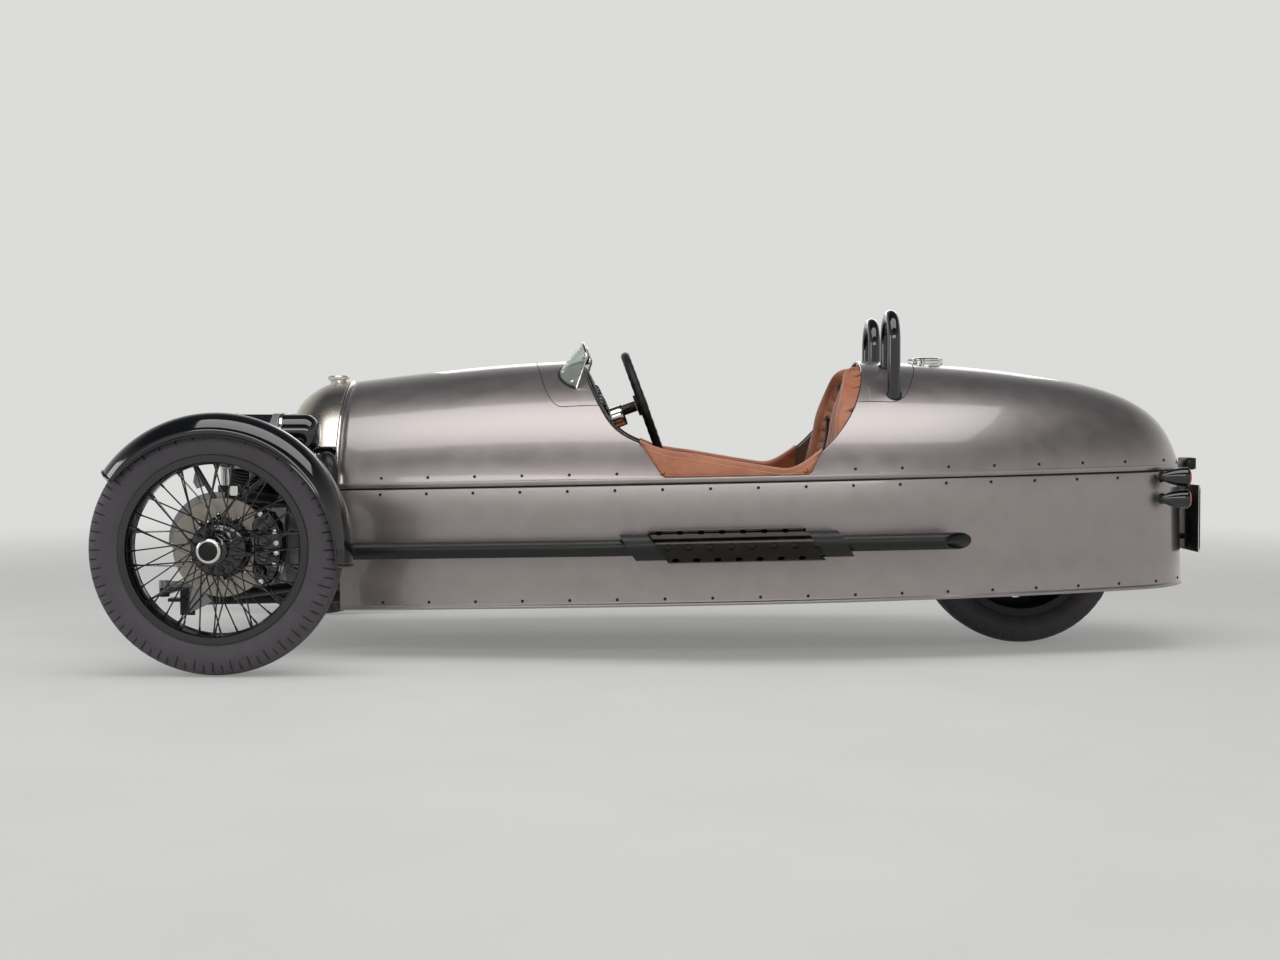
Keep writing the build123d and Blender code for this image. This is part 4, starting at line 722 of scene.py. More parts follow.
# Mudguards: pressed crown with a side skirt that tapers to the tips, edge rolled over a wire
GUARD_R, GUARD_HALF, GUARD_SHOULDER, GUARD_SKIRT = 369.0, 76.0, 323.0, 296
GUARD_FROM, GUARD_TO = 35, 187
# Circle that the skirts are cut to, its middle below the axle
SKIRT_R, SKIRT_DROP = 335.0, 27.0
rise = GUARD_R - GUARD_SHOULDER
crown_r = (GUARD_HALF ** 2 + rise ** 2) / (2 * rise)
crown_a = atan2(GUARD_HALF, crown_r - rise)
crown = [(crown_r * sin(a), GUARD_R - crown_r + crown_r * cos(a)) for a in np.linspace(0, crown_a, 22)]
section = np.array(crown + [(GUARD_HALF, r) for r in np.linspace(GUARD_SHOULDER, GUARD_SKIRT, 12)[1:]])
section_run = run_along(section)
guard_rows, guard_edges = [], []
for turn in np.radians(np.linspace(GUARD_FROM, GUARD_TO, 90)):
    trim = -SKIRT_DROP * sin(turn) + sqrt(SKIRT_R ** 2 - (SKIRT_DROP * cos(turn)) ** 2)
    end = float(np.interp(-trim, -section[:, 1], section_run))
    steps = np.linspace(0, end, 20)
    outs, radii = np.interp(steps, section_run, section[:, 0]), np.interp(steps, section_run, section[:, 1])
    half = [place(o, r, turn) for o, r in zip(outs, radii)]
    inner = [place(-o, r, turn) for o, r in zip(outs, radii)]
    guard_rows.append(inner[:0:-1] + half)
    guard_edges.append((inner[-1], half[-1]))
guard = Shape().skin(guard_rows)
guard_trim = Shape()
EDGE_WIRE_R, STAY_R = 0.0034, 0.007
edge_loop = [edge[1] for edge in guard_edges] + guard_rows[-1][-2:0:-1]
edge_loop += [edge[0] for edge in reversed(guard_edges)] + guard_rows[0][1:-1]
guard_trim.bar(edge_loop, EDGE_WIRE_R, sides=8, closed=True)
for turn in (radians(68), radians(128)):
    stay = [mm(FRONT_X, KING_Y + 28, 434), place(-75, 338, turn)]
    guard_trim.bar(stay, STAY_R, sides=12)
for side in SIDES:
    made = guard.on(side).piece("cycle_guard_" + side, GLOSS_BLACK, "steered_upright_" + side, CRISP,
                                ("mudguard_" + side,), "gloss_black")
    thicken(made, GUARD_WALL)
    guard_trim.on(side).piece("guard_edge_" + side, GLOSS_BLACK, "steered_upright_" + side, CRISP,
                              slot="gloss_black")

# Brakes and uprights, left side first
disc = Shape().turn([(-74, 84), (-74, 135), (-73, 136), (-65, 136), (-64, 135), (-64, 84), (-74, 84)],
                    centre, outward, 96)
bell = Shape().turn([(-69, 62), (-66, 76), (-60, 78), (-28, 76), (-23, 74), (-22.2, 70), (-22.2, 34)],
                    centre, outward, 64)
DISC_ARMS, FIRST_ARM, ARM_THICK = 10, 12, 0.009
arm_turns = [radians(360 / DISC_ARMS * i + FIRST_ARM) for i in range(DISC_ARMS)]
for a in arm_turns:
    arm = [place(-71, 74, a - 0.09), place(-71, 74, a + 0.09), place(-71, 96, a + 0.05),
           place(-71, 96, a - 0.05)]
    bell.block([arm, [p + Vector((0, ARM_THICK, 0)) for p in arm]])
bobbins = domes([(place(-62.5, 92, a), outward) for a in arm_turns], 0.0048, 0.002)
CALIPER = [(88, -62), (96, -92), (112, -104), (140, -94), (158, -66), (168, -28), (170, 0), (168, 28),
           (158, 66), (140, 94), (112, 104), (96, 92), (88, 62), (92, 30), (93, 0), (92, -30)]
caliper, caliper_bolts = Shape(), []
for start, thick in ((-103, 27), (-62, 27)):
    caliper.plate(CALIPER, place(start, 0, 0), BEHIND, UPWARD, thick, 4.0)
caliper.plate(((140, -88), (168, -30), (168, 30), (140, 88), (146, 40), (150, 0), (146, -40)),
              place(-78, 0, 0), BEHIND, UPWARD, 20, 2.0)
for z in (-62, -21, 21, 62):
    x = 124 - abs(z) * 0.1
    caliper.turn([(-36, 19), (-33, 18.6), (-31.4, 16.5), (-31, 14), (-32, 12.4), (-32, 0.1)],
                 place(0, 0, 0) + mm(-x, 0, z), outward, 28)
for x, z in ((112, 92), (112, -92), (150, 44), (150, -44), (154, 14), (154, -14)):
    caliper_bolts.append((place(-35.5, 0, 0) + mm(-x, 0, z), outward))
bridge_pipe = [place(-36, 0, 0) + mm(-x, 0, z)
               for x, z in ((112, 84), (124, 96), (150, 70), (166, 30), (168, 0))]
caliper.bar(through(bridge_pipe, 24), 0.0028, sides=8)

casting = Shape()
guard_plate = []
for a in np.radians(np.linspace(4, 92, 30)):
    reach = 150 + 8 * sin(2 * a)
    guard_plate.append((118 * cos(a), 118 * sin(a), reach * cos(a), reach * sin(a)))
outer_line = [(x, z) for _, _, x, z in guard_plate] + [(x, z) for x, z, _, _ in reversed(guard_plate)]
casting.plate([(z, x) for x, z in outer_line], place(-88, 0, 0), UPWARD, AHEAD, 6, 1.5)
casting.plate([(z, x) for x, z in ((52, 168), (72, 160), (82, 178), (77, 206), (66, 208), (56, 190))],
              place(-86, 0, 0), UPWARD, AHEAD, 8, 2.0)
casting.plate([(z, x) for x, z in ((93, -113), (63, -106), (29, -151), (93, -182))], place(-84, 0, 0),
              UPWARD, AHEAD, 8, 2.0)
block = Shape().plate(oblong(32, 26, 5), place(-90, 0, 0) + mm(-36, 0, 155), UPWARD, AHEAD, 34, 3.0)
for side in SIDES:
    wheel, held = "front_wheel_" + side, "steered_upright_" + side
    disc.on(side).piece("brake_rotor_" + side, DISC_STEEL, wheel, CRISP, ("brake_disc_" + side,),
                        "disc_steel")
    bell.on(side).piece("rotor_bell_" + side, POWDER, wheel, CRISP, slot="rim_black")
    bobbins.on(side).piece("rotor_bobbins_" + side, POLISHED, wheel, SOFT, slot="polished")
    caliper.on(side).piece("four_pot_caliper_" + side, GLOSS_BLACK, held, SHARP, ("caliper_" + side,),
                           "gloss_black")
    hexagons(caliper_bolts, 0.0055, 0.006).on(side).piece("caliper_bolts_" + side, POLISHED, held, CRISP,
                                                          slot="polished")
    casting.on(side).piece("upright_casting_" + side, CAST_ALLOY, held, SHARP, slot="engine_alloy")
    block.on(side).piece("ball_joint_block_" + side, POLISHED, held, SHARP, slot="polished")

# Coil springs over the front dampers
DAMPER_FOOT, DAMPER_TOP = mm(FRONT_X, 561, 241), mm(FRONT_X, 271, 443.4)
lean = (DAMPER_TOP - DAMPER_FOOT).normalized()
length = (DAMPER_TOP - DAMPER_FOOT).length / MM
damper = Shape().turn([(0, 15), (6, 16), (48, 16), (50, 37), (56, 38), (60, 37), (60, 22),
                       (length * 0.52, 22), (length * 0.54, 9), (length - 42, 9), (length - 42, 37),
                       (length - 38, 38), (length - 33, 36), (length - 30, 15), (length, 14)],
                      DAMPER_FOOT, lean, 40)
damper.bar([DAMPER_FOOT - Vector((0.017, 0, 0)), DAMPER_FOOT + Vector((0.017, 0, 0))], 0.0138, sides=24)
damper.bar([DAMPER_TOP - Vector((0.018, 0, 0)), DAMPER_TOP + Vector((0.018, 0, 0))], 0.0215, sides=28)
spring_out = lean.orthogonal().normalized()
spring_side = lean.cross(spring_out)
coil = []
SPRING_TURNS, SPRING_STEPS, SPRING_R, SPRING_WIRE = 8, 26, 32.0, 0.0055
SPRING_FOOT, SPRING_HEAD = 62, 46
for i in range(SPRING_TURNS * SPRING_STEPS + 1):
    a = 2 * pi * i / SPRING_STEPS
    rise = SPRING_FOOT + (length - SPRING_FOOT - SPRING_HEAD) * i / (SPRING_TURNS * SPRING_STEPS)
    coil.append(DAMPER_FOOT + (lean * rise + (spring_out * cos(a) + spring_side * sin(a)) * SPRING_R) * MM)
spring = Shape().bar(coil, SPRING_WIRE, sides=10)
damper.both().piece("damper_bodies", POWDER, stands_for=("front_dampers",), slot="black_steel")
spring.both().piece("coil_springs", SATIN_BLACK, slot="black_steel", crease=ROUND)

# Headlamps: a gloss can on a stalk from the cowl
LAMP = mm(1044, 432, 652)
can = Shape().turn([(0, 0.1), (0, 16), (2, 26), (7, 36), (14, 44), (23, 50.5), (34, 54.4), (44, 55),
                    (98, 55), (100, 56.5), (102, 57)], LAMP, AHEAD, 64)
lamp_rim = Shape().turn([(101, 55), (101, 58), (103, 59.2), (109, 59.2), (112.5, 58), (114, 55.5),
                         (113, 52.4), (106, 51.6), (100, 51.6)], LAMP, AHEAD, 64)
bowl = Shape().turn([(111, 51.5), (100, 46), (86, 36), (76, 22), (72, 8), (72, 0.1)], LAMP, AHEAD, 48)
bowl.turn([(72, 7), (92, 7), (99, 5), (101, 0.1)], LAMP, AHEAD, 20)
lamp_front = Shape().turn([(106, 51.4), (111, 51.2), (114, 44), (116.6, 32), (118.2, 18), (119, 0.1),
                           (114, 0.1), (112, 30), (107, 48), (106, 51.4)], LAMP, AHEAD, 64)
stalk = LAMP + mm(51, 0, -6)
can.bar([stalk + Vector((0, -0.045, 0)), stalk + Vector((0, -0.119, 0))], 0.011, sides=24)
can.turn([(0, 19), (5, 19), (8, 16), (8, 11)], stalk + Vector((0, -0.1205, 0)), (0, 1, 0.25), 28)
can.both().piece("headlamp_cans", GLOSS_BLACK, stands_for=("headlamp_shells",), slot="gloss_black")
lamp_rim.both().piece("headlamp_rims", POLISHED, slot="polished")
bowl.both().piece("headlamp_bowls", POLISHED, slot="polished")
lamp_front.both().piece("headlamp_glasses", LAMP_GLASS, stands_for=("headlamp_lenses",), slot="lamp_glass")

# Engine: finned barrels, heads, rocker boxes, plugs, pushrod tubes, covers and air cleaner
ENGINE = mm(1300, 0, 330)
VEE = radians(28)
BOLT_R, BOLT_RISE = 0.0048, 0.006
barrels, heads, boxes, plugs, leads, rods = (Shape() for _ in range(6))
engine_bolts = []
up, across = Vector((0, sin(VEE), cos(VEE))), Vector((0, cos(VEE), -sin(VEE)))


def on_vee(x, out, along):
    """Place about the left barrel: ahead, outward across it and up along it."""
    return ENGINE + (Vector((x, 0, 0)) + across * out + up * along) * MM


def vee_plate(shape, outline, x, along, thickness, bevel):
    """Adds a plate square to the left barrel, at a height along it."""
    shape.plate(outline, on_vee(x, 0, along), across * -1, AHEAD, thickness, bevel)


BARREL_R, FIN_ROOT, FIN_EDGE, FIN_R = 58, 59.5, 81, 82
FINS, FIN_LOW, FIN_PITCH = 11, 156, 11
fin_line = [(150.5, BARREL_R)]
for i in range(FINS):
    low = FIN_LOW + i * FIN_PITCH
    fin_line += [(low - 0.5, BARREL_R), (low, FIN_ROOT), (low + 0.8, FIN_EDGE), (low + 2, FIN_R),
                 (low + 3.2, FIN_EDGE), (low + 4, FIN_ROOT), (low + 4.5, BARREL_R)]
barrels.turn(fin_line + [(276.6, BARREL_R)], ENGINE, up, 72)
vee_plate(heads, oblong(138, 168, 22), 0, 277, 62, 1.0)
for i in range(4):
    vee_plate(heads, oblong(162, 192, 30), 0, 283.5 + i * 13, 5, 1.2)
vee_plate(boxes, oblong(136, 172, 20), 0, 339, 8, 1.2)
vee_plate(boxes, oblong(124, 162, 16), 0, 347, 52, 7.0)
for x in (-54, -27, 0, 27, 54):
    vee_plate(boxes, oblong(96, 9, 4), x, 397, 3.5, 1.4)
for x, out in ((-76, 50), (0, 60), (76, 50), (-76, -50), (0, -60), (76, -50)):
    engine_bolts.append((on_vee(x, out, 347), up))
plug = on_vee(0, 80, 312)
plugs.turn([(0, 9), (8, 9), (8, 11), (16, 11), (18, 7), (44, 6), (46, 4), (52, 4), (52, 0.1)], plug,
           across + up * 0.35, 18)
lead = [plug + (across + up * 0.35).normalized() * 0.046, plug + Vector((-0.05, 0.07, 0.02)),
        plug + Vector((-0.11, 0.03, -0.02)), plug + Vector((-0.15, -0.06, -0.03))]
leads.bar(through(lead, 24), 0.0042, sides=8)
for x in (66, 84):
    rods.bar([on_vee(x + 20, 20, 140), on_vee(x + 8, 14, 276)], 0.0095, sides=16)
    rods.turn([(0, 14), (8, 14), (10, 11)], on_vee(x + 20, 20, 140), up, 20)
barrels.both().piece("finned_barrels", BARREL_BLACK, stands_for=("engine_cylinders",), slot="fin_black")
heads.both().piece("cylinder_heads", CAST_ALLOY, stands_for=("engine_heads",), slot="engine_alloy")
box_ends = Shape()
vee_plate(box_ends, oblong(126, 30, 8), -70, 346, 54.5, 5.0)
boxes.both().piece("rocker_boxes", POWDER, slot="black_steel")
box_ends.both().piece("rocker_box_ends", ALLOY, slot="polished")
plugs.both().piece("spark_plugs", DIAL, slot="plate_blank")
leads.both().piece("plug_leads", SEAL, slot="black_steel", crease=ROUND)
rods.both().piece("pushrod_tubes", POLISHED, slot="polished", crease=ROUND)
front_face = mm(1398, 0, 330)
cover = Shape().turn([(0, 93), (16, 93), (19, 90), (20, 84), (20, 66), (30, 64), (32, 60), (32, 40),
                      (36, 36), (38, 26), (38, 0.1)], front_face + Vector((0, 0, 0.006)), AHEAD, 72)
cover.turn([(0, 49), (12, 49), (14, 46), (14, 20), (18, 17), (18, 0.1)],
           front_face + Vector((0, 0, 0.112)), AHEAD, 48)
cover_bolts = []
COVER_BOLTS, COVER_BOLT_RING = 10, 0.0785
for i in range(COVER_BOLTS):
    a = radians(360 / COVER_BOLTS * i)
    ring_y, ring_z = COVER_BOLT_RING * cos(a), COVER_BOLT_RING * sin(a)
    cover_bolts.append((front_face + Vector((0.0195, ring_y, 0.006 + ring_z)), AHEAD))
cover.piece("timing_covers", ALLOY, slot="polished")
bolts = hexagons(engine_bolts, BOLT_R, BOLT_RISE).both()
bolts.join(hexagons(cover_bolts, BOLT_R, BOLT_RISE))
bolts.piece("engine_bolts", POLISHED, slot="polished", crease=CRISP)
PLENUM = ENGINE + Vector((0, 0, 0.326))
cleaner = Shape().turn([(-72, 0.1), (-72, 40), (-68, 46), (-60, 48), (70, 48), (74, 50), (76, 54),
                        (80, 56), (124, 56), (128, 54), (131, 47), (132, 0.1)], PLENUM, AHEAD, 64)
for x in (86, 94, 102, 110, 118):
    cleaner.turn([(x, 55), (x + 1.5, 58), (x + 3, 55)], PLENUM, AHEAD, 64)
stub = [on_vee(0, -82, 308), on_vee(0, -134, 308)]
cleaner.join(Shape().bar(stub, 0.022, sides=28).both())
clips = Shape()
for share in (0.2, 0.55):
    clips.turn([(-5, 22), (-5, 24), (5, 24), (5, 22)], stub[0].lerp(stub[1], share), stub[1] - stub[0], 32)
clips.both().piece("intake_clips", POLISHED, slot="polished")
cleaner.piece("air_cleaner", ALLOY, stands_for=("engine_intake",), slot="polished")

# Cockpit lining, roll and trim


def wall_y(x, z, grow=0.0):
    """Half width of the body's skin at a place, floor to crown."""
    if z < BELT_Z + BELT_GAP:
        return half_width(x) + grow
    r, middle, _ = arch(half_width(x), top_rise(x))
    return sqrt(max((r + grow) ** 2 - (z - middle) ** 2, 1.0))


def edge_height(x):
    """Height of the cockpit's edge at a station."""
    return float(np.interp(x, edge_x, edge_line[:, 1]))


ROLL_FROM, DECK_FROM = 118, -396
LIP_HALF, PIPING_FROM = 0.19, 0.18
scuttle = [x for x in edge_x if x > ROLL_FROM and cut_share(x) > 0]
scuttle_line = [on_arch(x, cut_share(x), -8.0) for x in scuttle]
crown_x = scuttle[-1]
roll = scuttle_line + [on_arch(crown_x, 0, -8.0)]
roll += [Vector((p.x, -p.y, p.z)) for p in reversed(scuttle_line)]
Shape().bar(through(roll, 120), 0.0078, sides=12).piece("scuttle_roll", BLACK_HIDE, slot="wheel_leather",
                                                        crease=ROUND)
deck_line = [on_arch(x, cut_share(x), -4.0) for x in edge_x if x < DECK_FROM and cut_share(x) > 0]
deck_roll = [Vector((p.x, -p.y, p.z)) for p in reversed(deck_line)] + deck_line
deck_path = through(deck_roll, 170)
deck_lip = [p for p in deck_path if abs(p[1]) < LIP_HALF]
Shape().bar(deck_lip, 0.0042, sides=14).piece("deck_lip", PEWTER, slot="body_paint", crease=ROUND)
# Black seal piping along the deck's sides, partly a real piping and partly painted shade: its black paints
# the shadow line along the deck's edge
deck_side = [p for p in deck_path if p[1] > PIPING_FROM]
Shape().bar(deck_side, 0.0026, sides=10).both().piece("deck_piping_and_edge_shadow", SEAL, slot="black_steel", crease=ROUND)

lining_rows = []
for x in np.linspace(212, -388, 70):
    lining_rows.append([in_body(x, wall_y(x, z, -24.0 - 3.0 * sin(pi * i / 24)), z)
                        for i, z in enumerate(np.linspace(312, edge_height(x) - 3, 25))])
lining = Shape().skin(lining_rows).both().piece("side_lining", HIDE, slot="leather", crease=SOFT)
thicken(lining, LINING_WALL, both_ways=True)

TRIM_FOOT = [(-405, 600), (-388, 566), (-371, 534), (-353, 522.5), (-300, 522), (0, 522), (40, 522.5),
             (55, 528), (70, 546), (124, 634)]
TRIM_PUFF, TRIM_EASE = 8.5, 14.0
trim_rows, foot_line, top_line = [], [], []
for x in np.linspace(-403, 122, 130):
    foot = float(np.interp(x, [p[0] for p in TRIM_FOOT], [p[1] for p in TRIM_FOOT]))
    top = edge_height(x) + 1.0
    foot = min(foot, top - 1.0)
    full = min(1.0, (top - foot) / 20.0)
    row = []
    for share in np.linspace(0, 1, 12):
        z = foot + (top - foot) * share
        puff = TRIM_PUFF * sin(min(1.0, (z - foot) / TRIM_EASE) * pi / 2) * full
        row.append(in_body(x, wall_y(x, z, 0.6 + puff), z))
    for a in np.radians(np.linspace(15, 180, 12)):
        row.append(in_body(x, wall_y(x, top, -11.4 + 20.5 * cos(a)), top + 9.0 * sin(a)))
    for drop in (14, 30, 48, 66):
        row.append(in_body(x, wall_y(x, top - drop, -31.9 + drop * 0.07), top - drop))
    trim_rows.append(row)
    foot_line.append(in_body(x, wall_y(x, foot + 9, 8.2), foot + 9))
    top_line.append(in_body(x, wall_y(x, top - 9, 9.4), top - 9))
trim = Shape().skin(trim_rows).both().piece("edge_trim", HIDE, stands_for=("cockpit_trim",),
                                            slot="leather", crease=70)
seams = stitches(foot_line[14:-12]).join(stitches(top_line[4:-4]))
seams.both().piece("trim_stitching", THREAD, slot="leather", crease=ROUND)
trim_rivets = []
for x, z in ((58, 541), (-352, 538)):
    point = in_body(x, wall_y(x, z, 9.0), z)
    trim_rivets.append((point, in_body(x, wall_y(x, z, 20.0), z) - point))
domes(trim_rivets, 0.0072, 0.0032).both().piece("trim_rivets", COPPER, slot="polished", crease=ROUND)

# Seats: pleated backs between plain bolsters, fluted cushions
SEAT_LINE = through([(-398, 214), (-430, 500), (-450, 590), (-461, 640), (-469, 690), (-486, 744),
                     (-505, 800), (-514, 819), (-531, 831), (-556, 833), (-585, 829)], 240)
seat_run = run_along(SEAT_LINE)
PLEAT, BOLSTER = 35.0, 0.24
PLEAT_RISE, BOLSTER_RISE, HOLLOW, INNER_SET_BACK, SEAT_INNER = 7.5, 10.0, 40.0, 24.0, 7.0
SEAT_GAP_LOW, SEAT_GAP_TOP = 40.0, 18.0
FLANK_DEPTH, FLANK_CROWN, FOLD_DROOP, FOLD_DEPTH, FOLD_HALF = 0.096, 9.0, 26.0, 7.0, 6.0
PLEAT_START = float(np.interp(783, SEAT_LINE[:, 1], seat_run)) % PLEAT


def fade(value, low, high):
    """Smooth step from 0 at low to 1 at high."""
    t = max(0.0, min(1.0, (value - low) / (high - low)))
    return t * t * (3 - 2 * t)


def bulge(share):
    """Round rise over a share from 0 to 1, highest in the middle."""
    return sqrt(max(0.0, 1 - (2 * share - 1) ** 2))


def seat_face(run, share, lift=0.0, out_y=0.0):
    """Place on the left seat's face: run up from its foot, share from the middle of the car to the wall."""
    x, z = (float(np.interp(run, seat_run, SEAT_LINE[:, i])) for i in (0, 1))
    x2, z2 = (float(np.interp(run + 4, seat_run, SEAT_LINE[:, i])) for i in (0, 1))
    slope = atan2(z2 - z, x2 - x) if run < seat_run[-1] - 4 else radians(150)
    gap = SEAT_GAP_LOW + (SEAT_GAP_TOP - SEAT_GAP_LOW) * fade(z, 640, 760)
    outer = max(wall_y(x, z, -gap), 60.0)
    side = min(share, 1 - share)
    ridge = (run - PLEAT_START) % PLEAT / PLEAT
    pleat = PLEAT_RISE * bulge(ridge) * fade(side, BOLSTER - 0.015, BOLSTER + 0.01)
    bolster = BOLSTER_RISE * bulge(min(side / BOLSTER, 1.0)) * (1 - fade(side, BOLSTER - 0.02, BOLSTER))
    hollow = HOLLOW * fade(side, 0.1, 0.4) * (1 - 0.75 * fade(run, seat_run[-1] - 110, seat_run[-1]))
    back = hollow + INNER_SET_BACK * (1 - fade(share, 0.05, 0.6))
    out = pleat + bolster + lift - back * fade(run, 20, 190)
    return in_body(x + out * sin(slope), SEAT_INNER + (outer - SEAT_INNER) * share + out_y,
                   z - out * cos(slope))


FOLDS = [float(np.interp(z, SEAT_LINE[:, 1], seat_run)) for z in (640, 716, 786, 820)]


def flank_at(run, d, rise):
    """Place on the left seat's flank: d from its front edge to under the deck, rise outward."""
    return seat_face(run, 1.0, 0.0, FLANK_CROWN * sin(pi * d * 0.8) + rise) - Vector((FLANK_DEPTH * d, 0, 0))


def droop(d):
    """How far a fold of the flank has sunk along the seat's edge: most at the front."""
    return FOLD_DROOP * (1 - d) ** 3


seat_rows = []
for run in np.linspace(0, seat_run[-1], 216):
    row = [seat_face(run, share) for share in np.linspace(0.0, 1.0, 61)]
    flank = []
    for d in np.linspace(0.06, 1, 18):
        gap = min(abs(run + droop(d) - fold) for fold in FOLDS)
        flank.append(flank_at(run, d, -FOLD_DEPTH * exp(-(gap / FOLD_HALF) ** 2) * fade(d, 0.1, 0.3)))
    seat_rows.append([seat_face(run, 0.0, -46.0)] + row + flank)
backs = Shape().skin(seat_rows, wrap_columns=True).both()
backs = backs.piece("pleated_seat_backs", HIDE, stands_for=("seat_backs",), slot="leather", crease=EASED)
# Dark thread along each fold of the flank: painted shadow lines of the folds
flank_fold_shadow_lines = Shape()
for fold in FOLDS:
    flank_fold_shadow_lines.bar([flank_at(fold - droop(d), d, -5.6) for d in np.linspace(0.26, 1, 40)], 0.0013, sides=8)
flank_fold_shadow_lines.both().piece("flank_fold_shadow_lines", FOLD_SHADOW_THREAD, slot="leather", crease=ROUND)
top_seam = stitches([seat_face(seat_run[-1] - 34, s, 2.5) for s in np.linspace(0.16, 0.84, 60)])
for share in (BOLSTER, 1 - BOLSTER):
    top_seam.join(stitches([seat_face(r, share, 3.0) for r in np.linspace(60, seat_run[-1] - 40, 120)]))
top_seam.both().piece("seat_stitching", THREAD, slot="leather", crease=ROUND)

CUSHION_X, CUSHION_Y, EASE, FLUTE = (-385.0, 150.0), (67.0, 437.0), 34.0, 53.0
CUSHION_FOOT, CUSHION_LOW, CUSHION_REAR, CUSHION_RISE, FLUTE_RISE = 214.0, 216.0, 248, 38, 7.0


def cushion_top(x, y):
    """Height of the left cushion's top: fluted fore and aft, crowned, eased at its edges."""
    drop = 0.0
    for value, (low, high) in ((x, CUSHION_X), (y, CUSHION_Y)):
        near = min(value - low, high - value, EASE)
        drop += EASE * (1 - sqrt(max(0.0, 1 - (1 - near / EASE) ** 2)))
    flute = (y - CUSHION_Y[0] - 24) % FLUTE / FLUTE
    ridge = FLUTE_RISE * bulge(flute) * fade(min(x - CUSHION_X[0], CUSHION_X[1] - x), 28, 60)
    middle = (x - CUSHION_X[0]) / (CUSHION_X[1] - CUSHION_X[0])
    ridge *= fade(min(y - CUSHION_Y[0], CUSHION_Y[1] - y), 22, 30)
    return max(CUSHION_LOW, CUSHION_REAR + CUSHION_RISE * middle + ridge - min(drop, 70.0))


cushion_rows = []
for x in CUSHION_X[0] + (CUSHION_X[1] - CUSHION_X[0]) * (1 - np.cos(np.linspace(0, pi, 120))) / 2:
    ys = CUSHION_Y[0] + (CUSHION_Y[1] - CUSHION_Y[0]) * (1 - np.cos(np.linspace(0, pi, 140))) / 2
    row = [in_body(x, y, cushion_top(x, y)) for y in ys]
    cushion_rows.append([in_body(x, CUSHION_Y[0], CUSHION_FOOT)] + row
                        + [in_body(x, CUSHION_Y[1], CUSHION_FOOT)])
cushions = Shape().block(cushion_rows).both().piece(
    "fluted_cushions", HIDE, stands_for=("seat_cushions",), slot="leather", crease=EASED)

# Harness: shoulder straps over the pleats' ridges, a lap strap bowed forward to its buckle
STRAP_W, STRAP_T, STRAP_LIFT, SHOULDER_STRAPS = 0.047, 0.0018, 5.5, (148.0, 232.0)
LAP_X, LAP_BOW, LAP_INSET = -336, 34, 24
BUCKLE_X = LAP_X + LAP_BOW
belts, buckles = Shape(), Shape()
RIDGES = list(np.arange(PLEAT_START + 1.5 * PLEAT, seat_run[-1], PLEAT)) + [seat_run[-1] - 2]
for across_seat in SHOULDER_STRAPS:
    path = []
    for run in reversed(RIDGES):
        wide = (seat_face(run, 1.0) - seat_face(run, 0.0)).y / MM
        if across_seat / wide < 0.74:
            path.append(seat_face(run, (across_seat - SEAT_INNER) / wide, STRAP_LIFT))
    belts.add(*strap(through(path, 90), ASIDE, STRAP_W, STRAP_T))
buckle_y = 0.5 * (CUSHION_Y[0] + CUSHION_Y[1])
lap_x = LAP_X + LAP_BOW * np.sin(np.linspace(0, pi, 40))
lap_y = np.linspace(CUSHION_Y[0] + LAP_INSET, CUSHION_Y[1] - LAP_INSET, 40)
lap = [in_body(x, y, cushion_top(x, y) + 5) for x, y in zip(lap_x, lap_y)]
belts.add(*strap(lap, (1, 0, 0.05), STRAP_W, STRAP_T))
buckle_spot = in_body(BUCKLE_X, buckle_y, cushion_top(BUCKLE_X, buckle_y) + 4.0)
buckles.plate(oblong(64, 58, 8), buckle_spot, ASIDE, (-1, 0, 0.07), 12, 2.0)
belts.both().piece("harness_webbing", WEBBING, slot="wheel_leather", crease=CRISP)
buckles.both().piece("harness_buckles", SATIN_BLACK, slot="black_steel", crease=CRISP)

# Steering wheel, column, dials, lever
WHEEL = mm(113, -215, 745)
COLUMN_TILT = radians(20)
column = Vector((cos(COLUMN_TILT), 0, -sin(COLUMN_TILT)))
level, upright_dir = Vector(ASIDE), Vector((sin(COLUMN_TILT), 0, cos(COLUMN_TILT)))


def on_wheel(radius, turn, along=0.0):
    """Place on the steering wheel: radius, turn and depth down the column."""
    return WHEEL + (level * (radius * cos(turn)) + upright_dir * (radius * sin(turn)) + column * along) * MM


GRIP_RING, GRIP_STEPS, GRIP_R, GRIP_WAVES, GRIP_WAVE = 162, 120, 0.0138, 30, 0.0006
grip_turns = [2 * pi * i / GRIP_STEPS for i in range(GRIP_STEPS)]
grip_radii = [GRIP_R + GRIP_WAVE * cos(turn * GRIP_WAVES) for turn in grip_turns]
hide_rim = Shape().bar([on_wheel(GRIP_RING, turn) for turn in grip_turns], grip_radii, sides=16, closed=True)
hide_rim.piece("steering_rim", BLACK_HIDE, "steering_wheel_body", ROUND, ("steering_wheel",), "wheel_leather")
SPOKE_ARM = [(26, -17), (70, -12), (110, -11), (150, -15), (150, 15), (110, 11), (70, 12), (26, 17)]
spokes = Shape()
for degrees in (-90, 30, 150):
    a = radians(degrees)
    along = level * cos(a) + upright_dir * sin(a)
    square = column.cross(along)
    spokes.plate(SPOKE_ARM, WHEEL + column * 0.0005, along, square, 4.5, 0.8)
spokes.turn([(-4, 40), (4, 40), (8, 36), (22, 34), (22, 18)], WHEEL, column, 48)
spokes.piece("steering_spokes", SATIN_BLACK, "steering_wheel_body", CRISP, slot="black_steel")
boss = Shape().turn([(-5, 37), (-9, 36), (-12.6, 31), (-14, 24), (-14, 0.1)], WHEEL, column, 48)
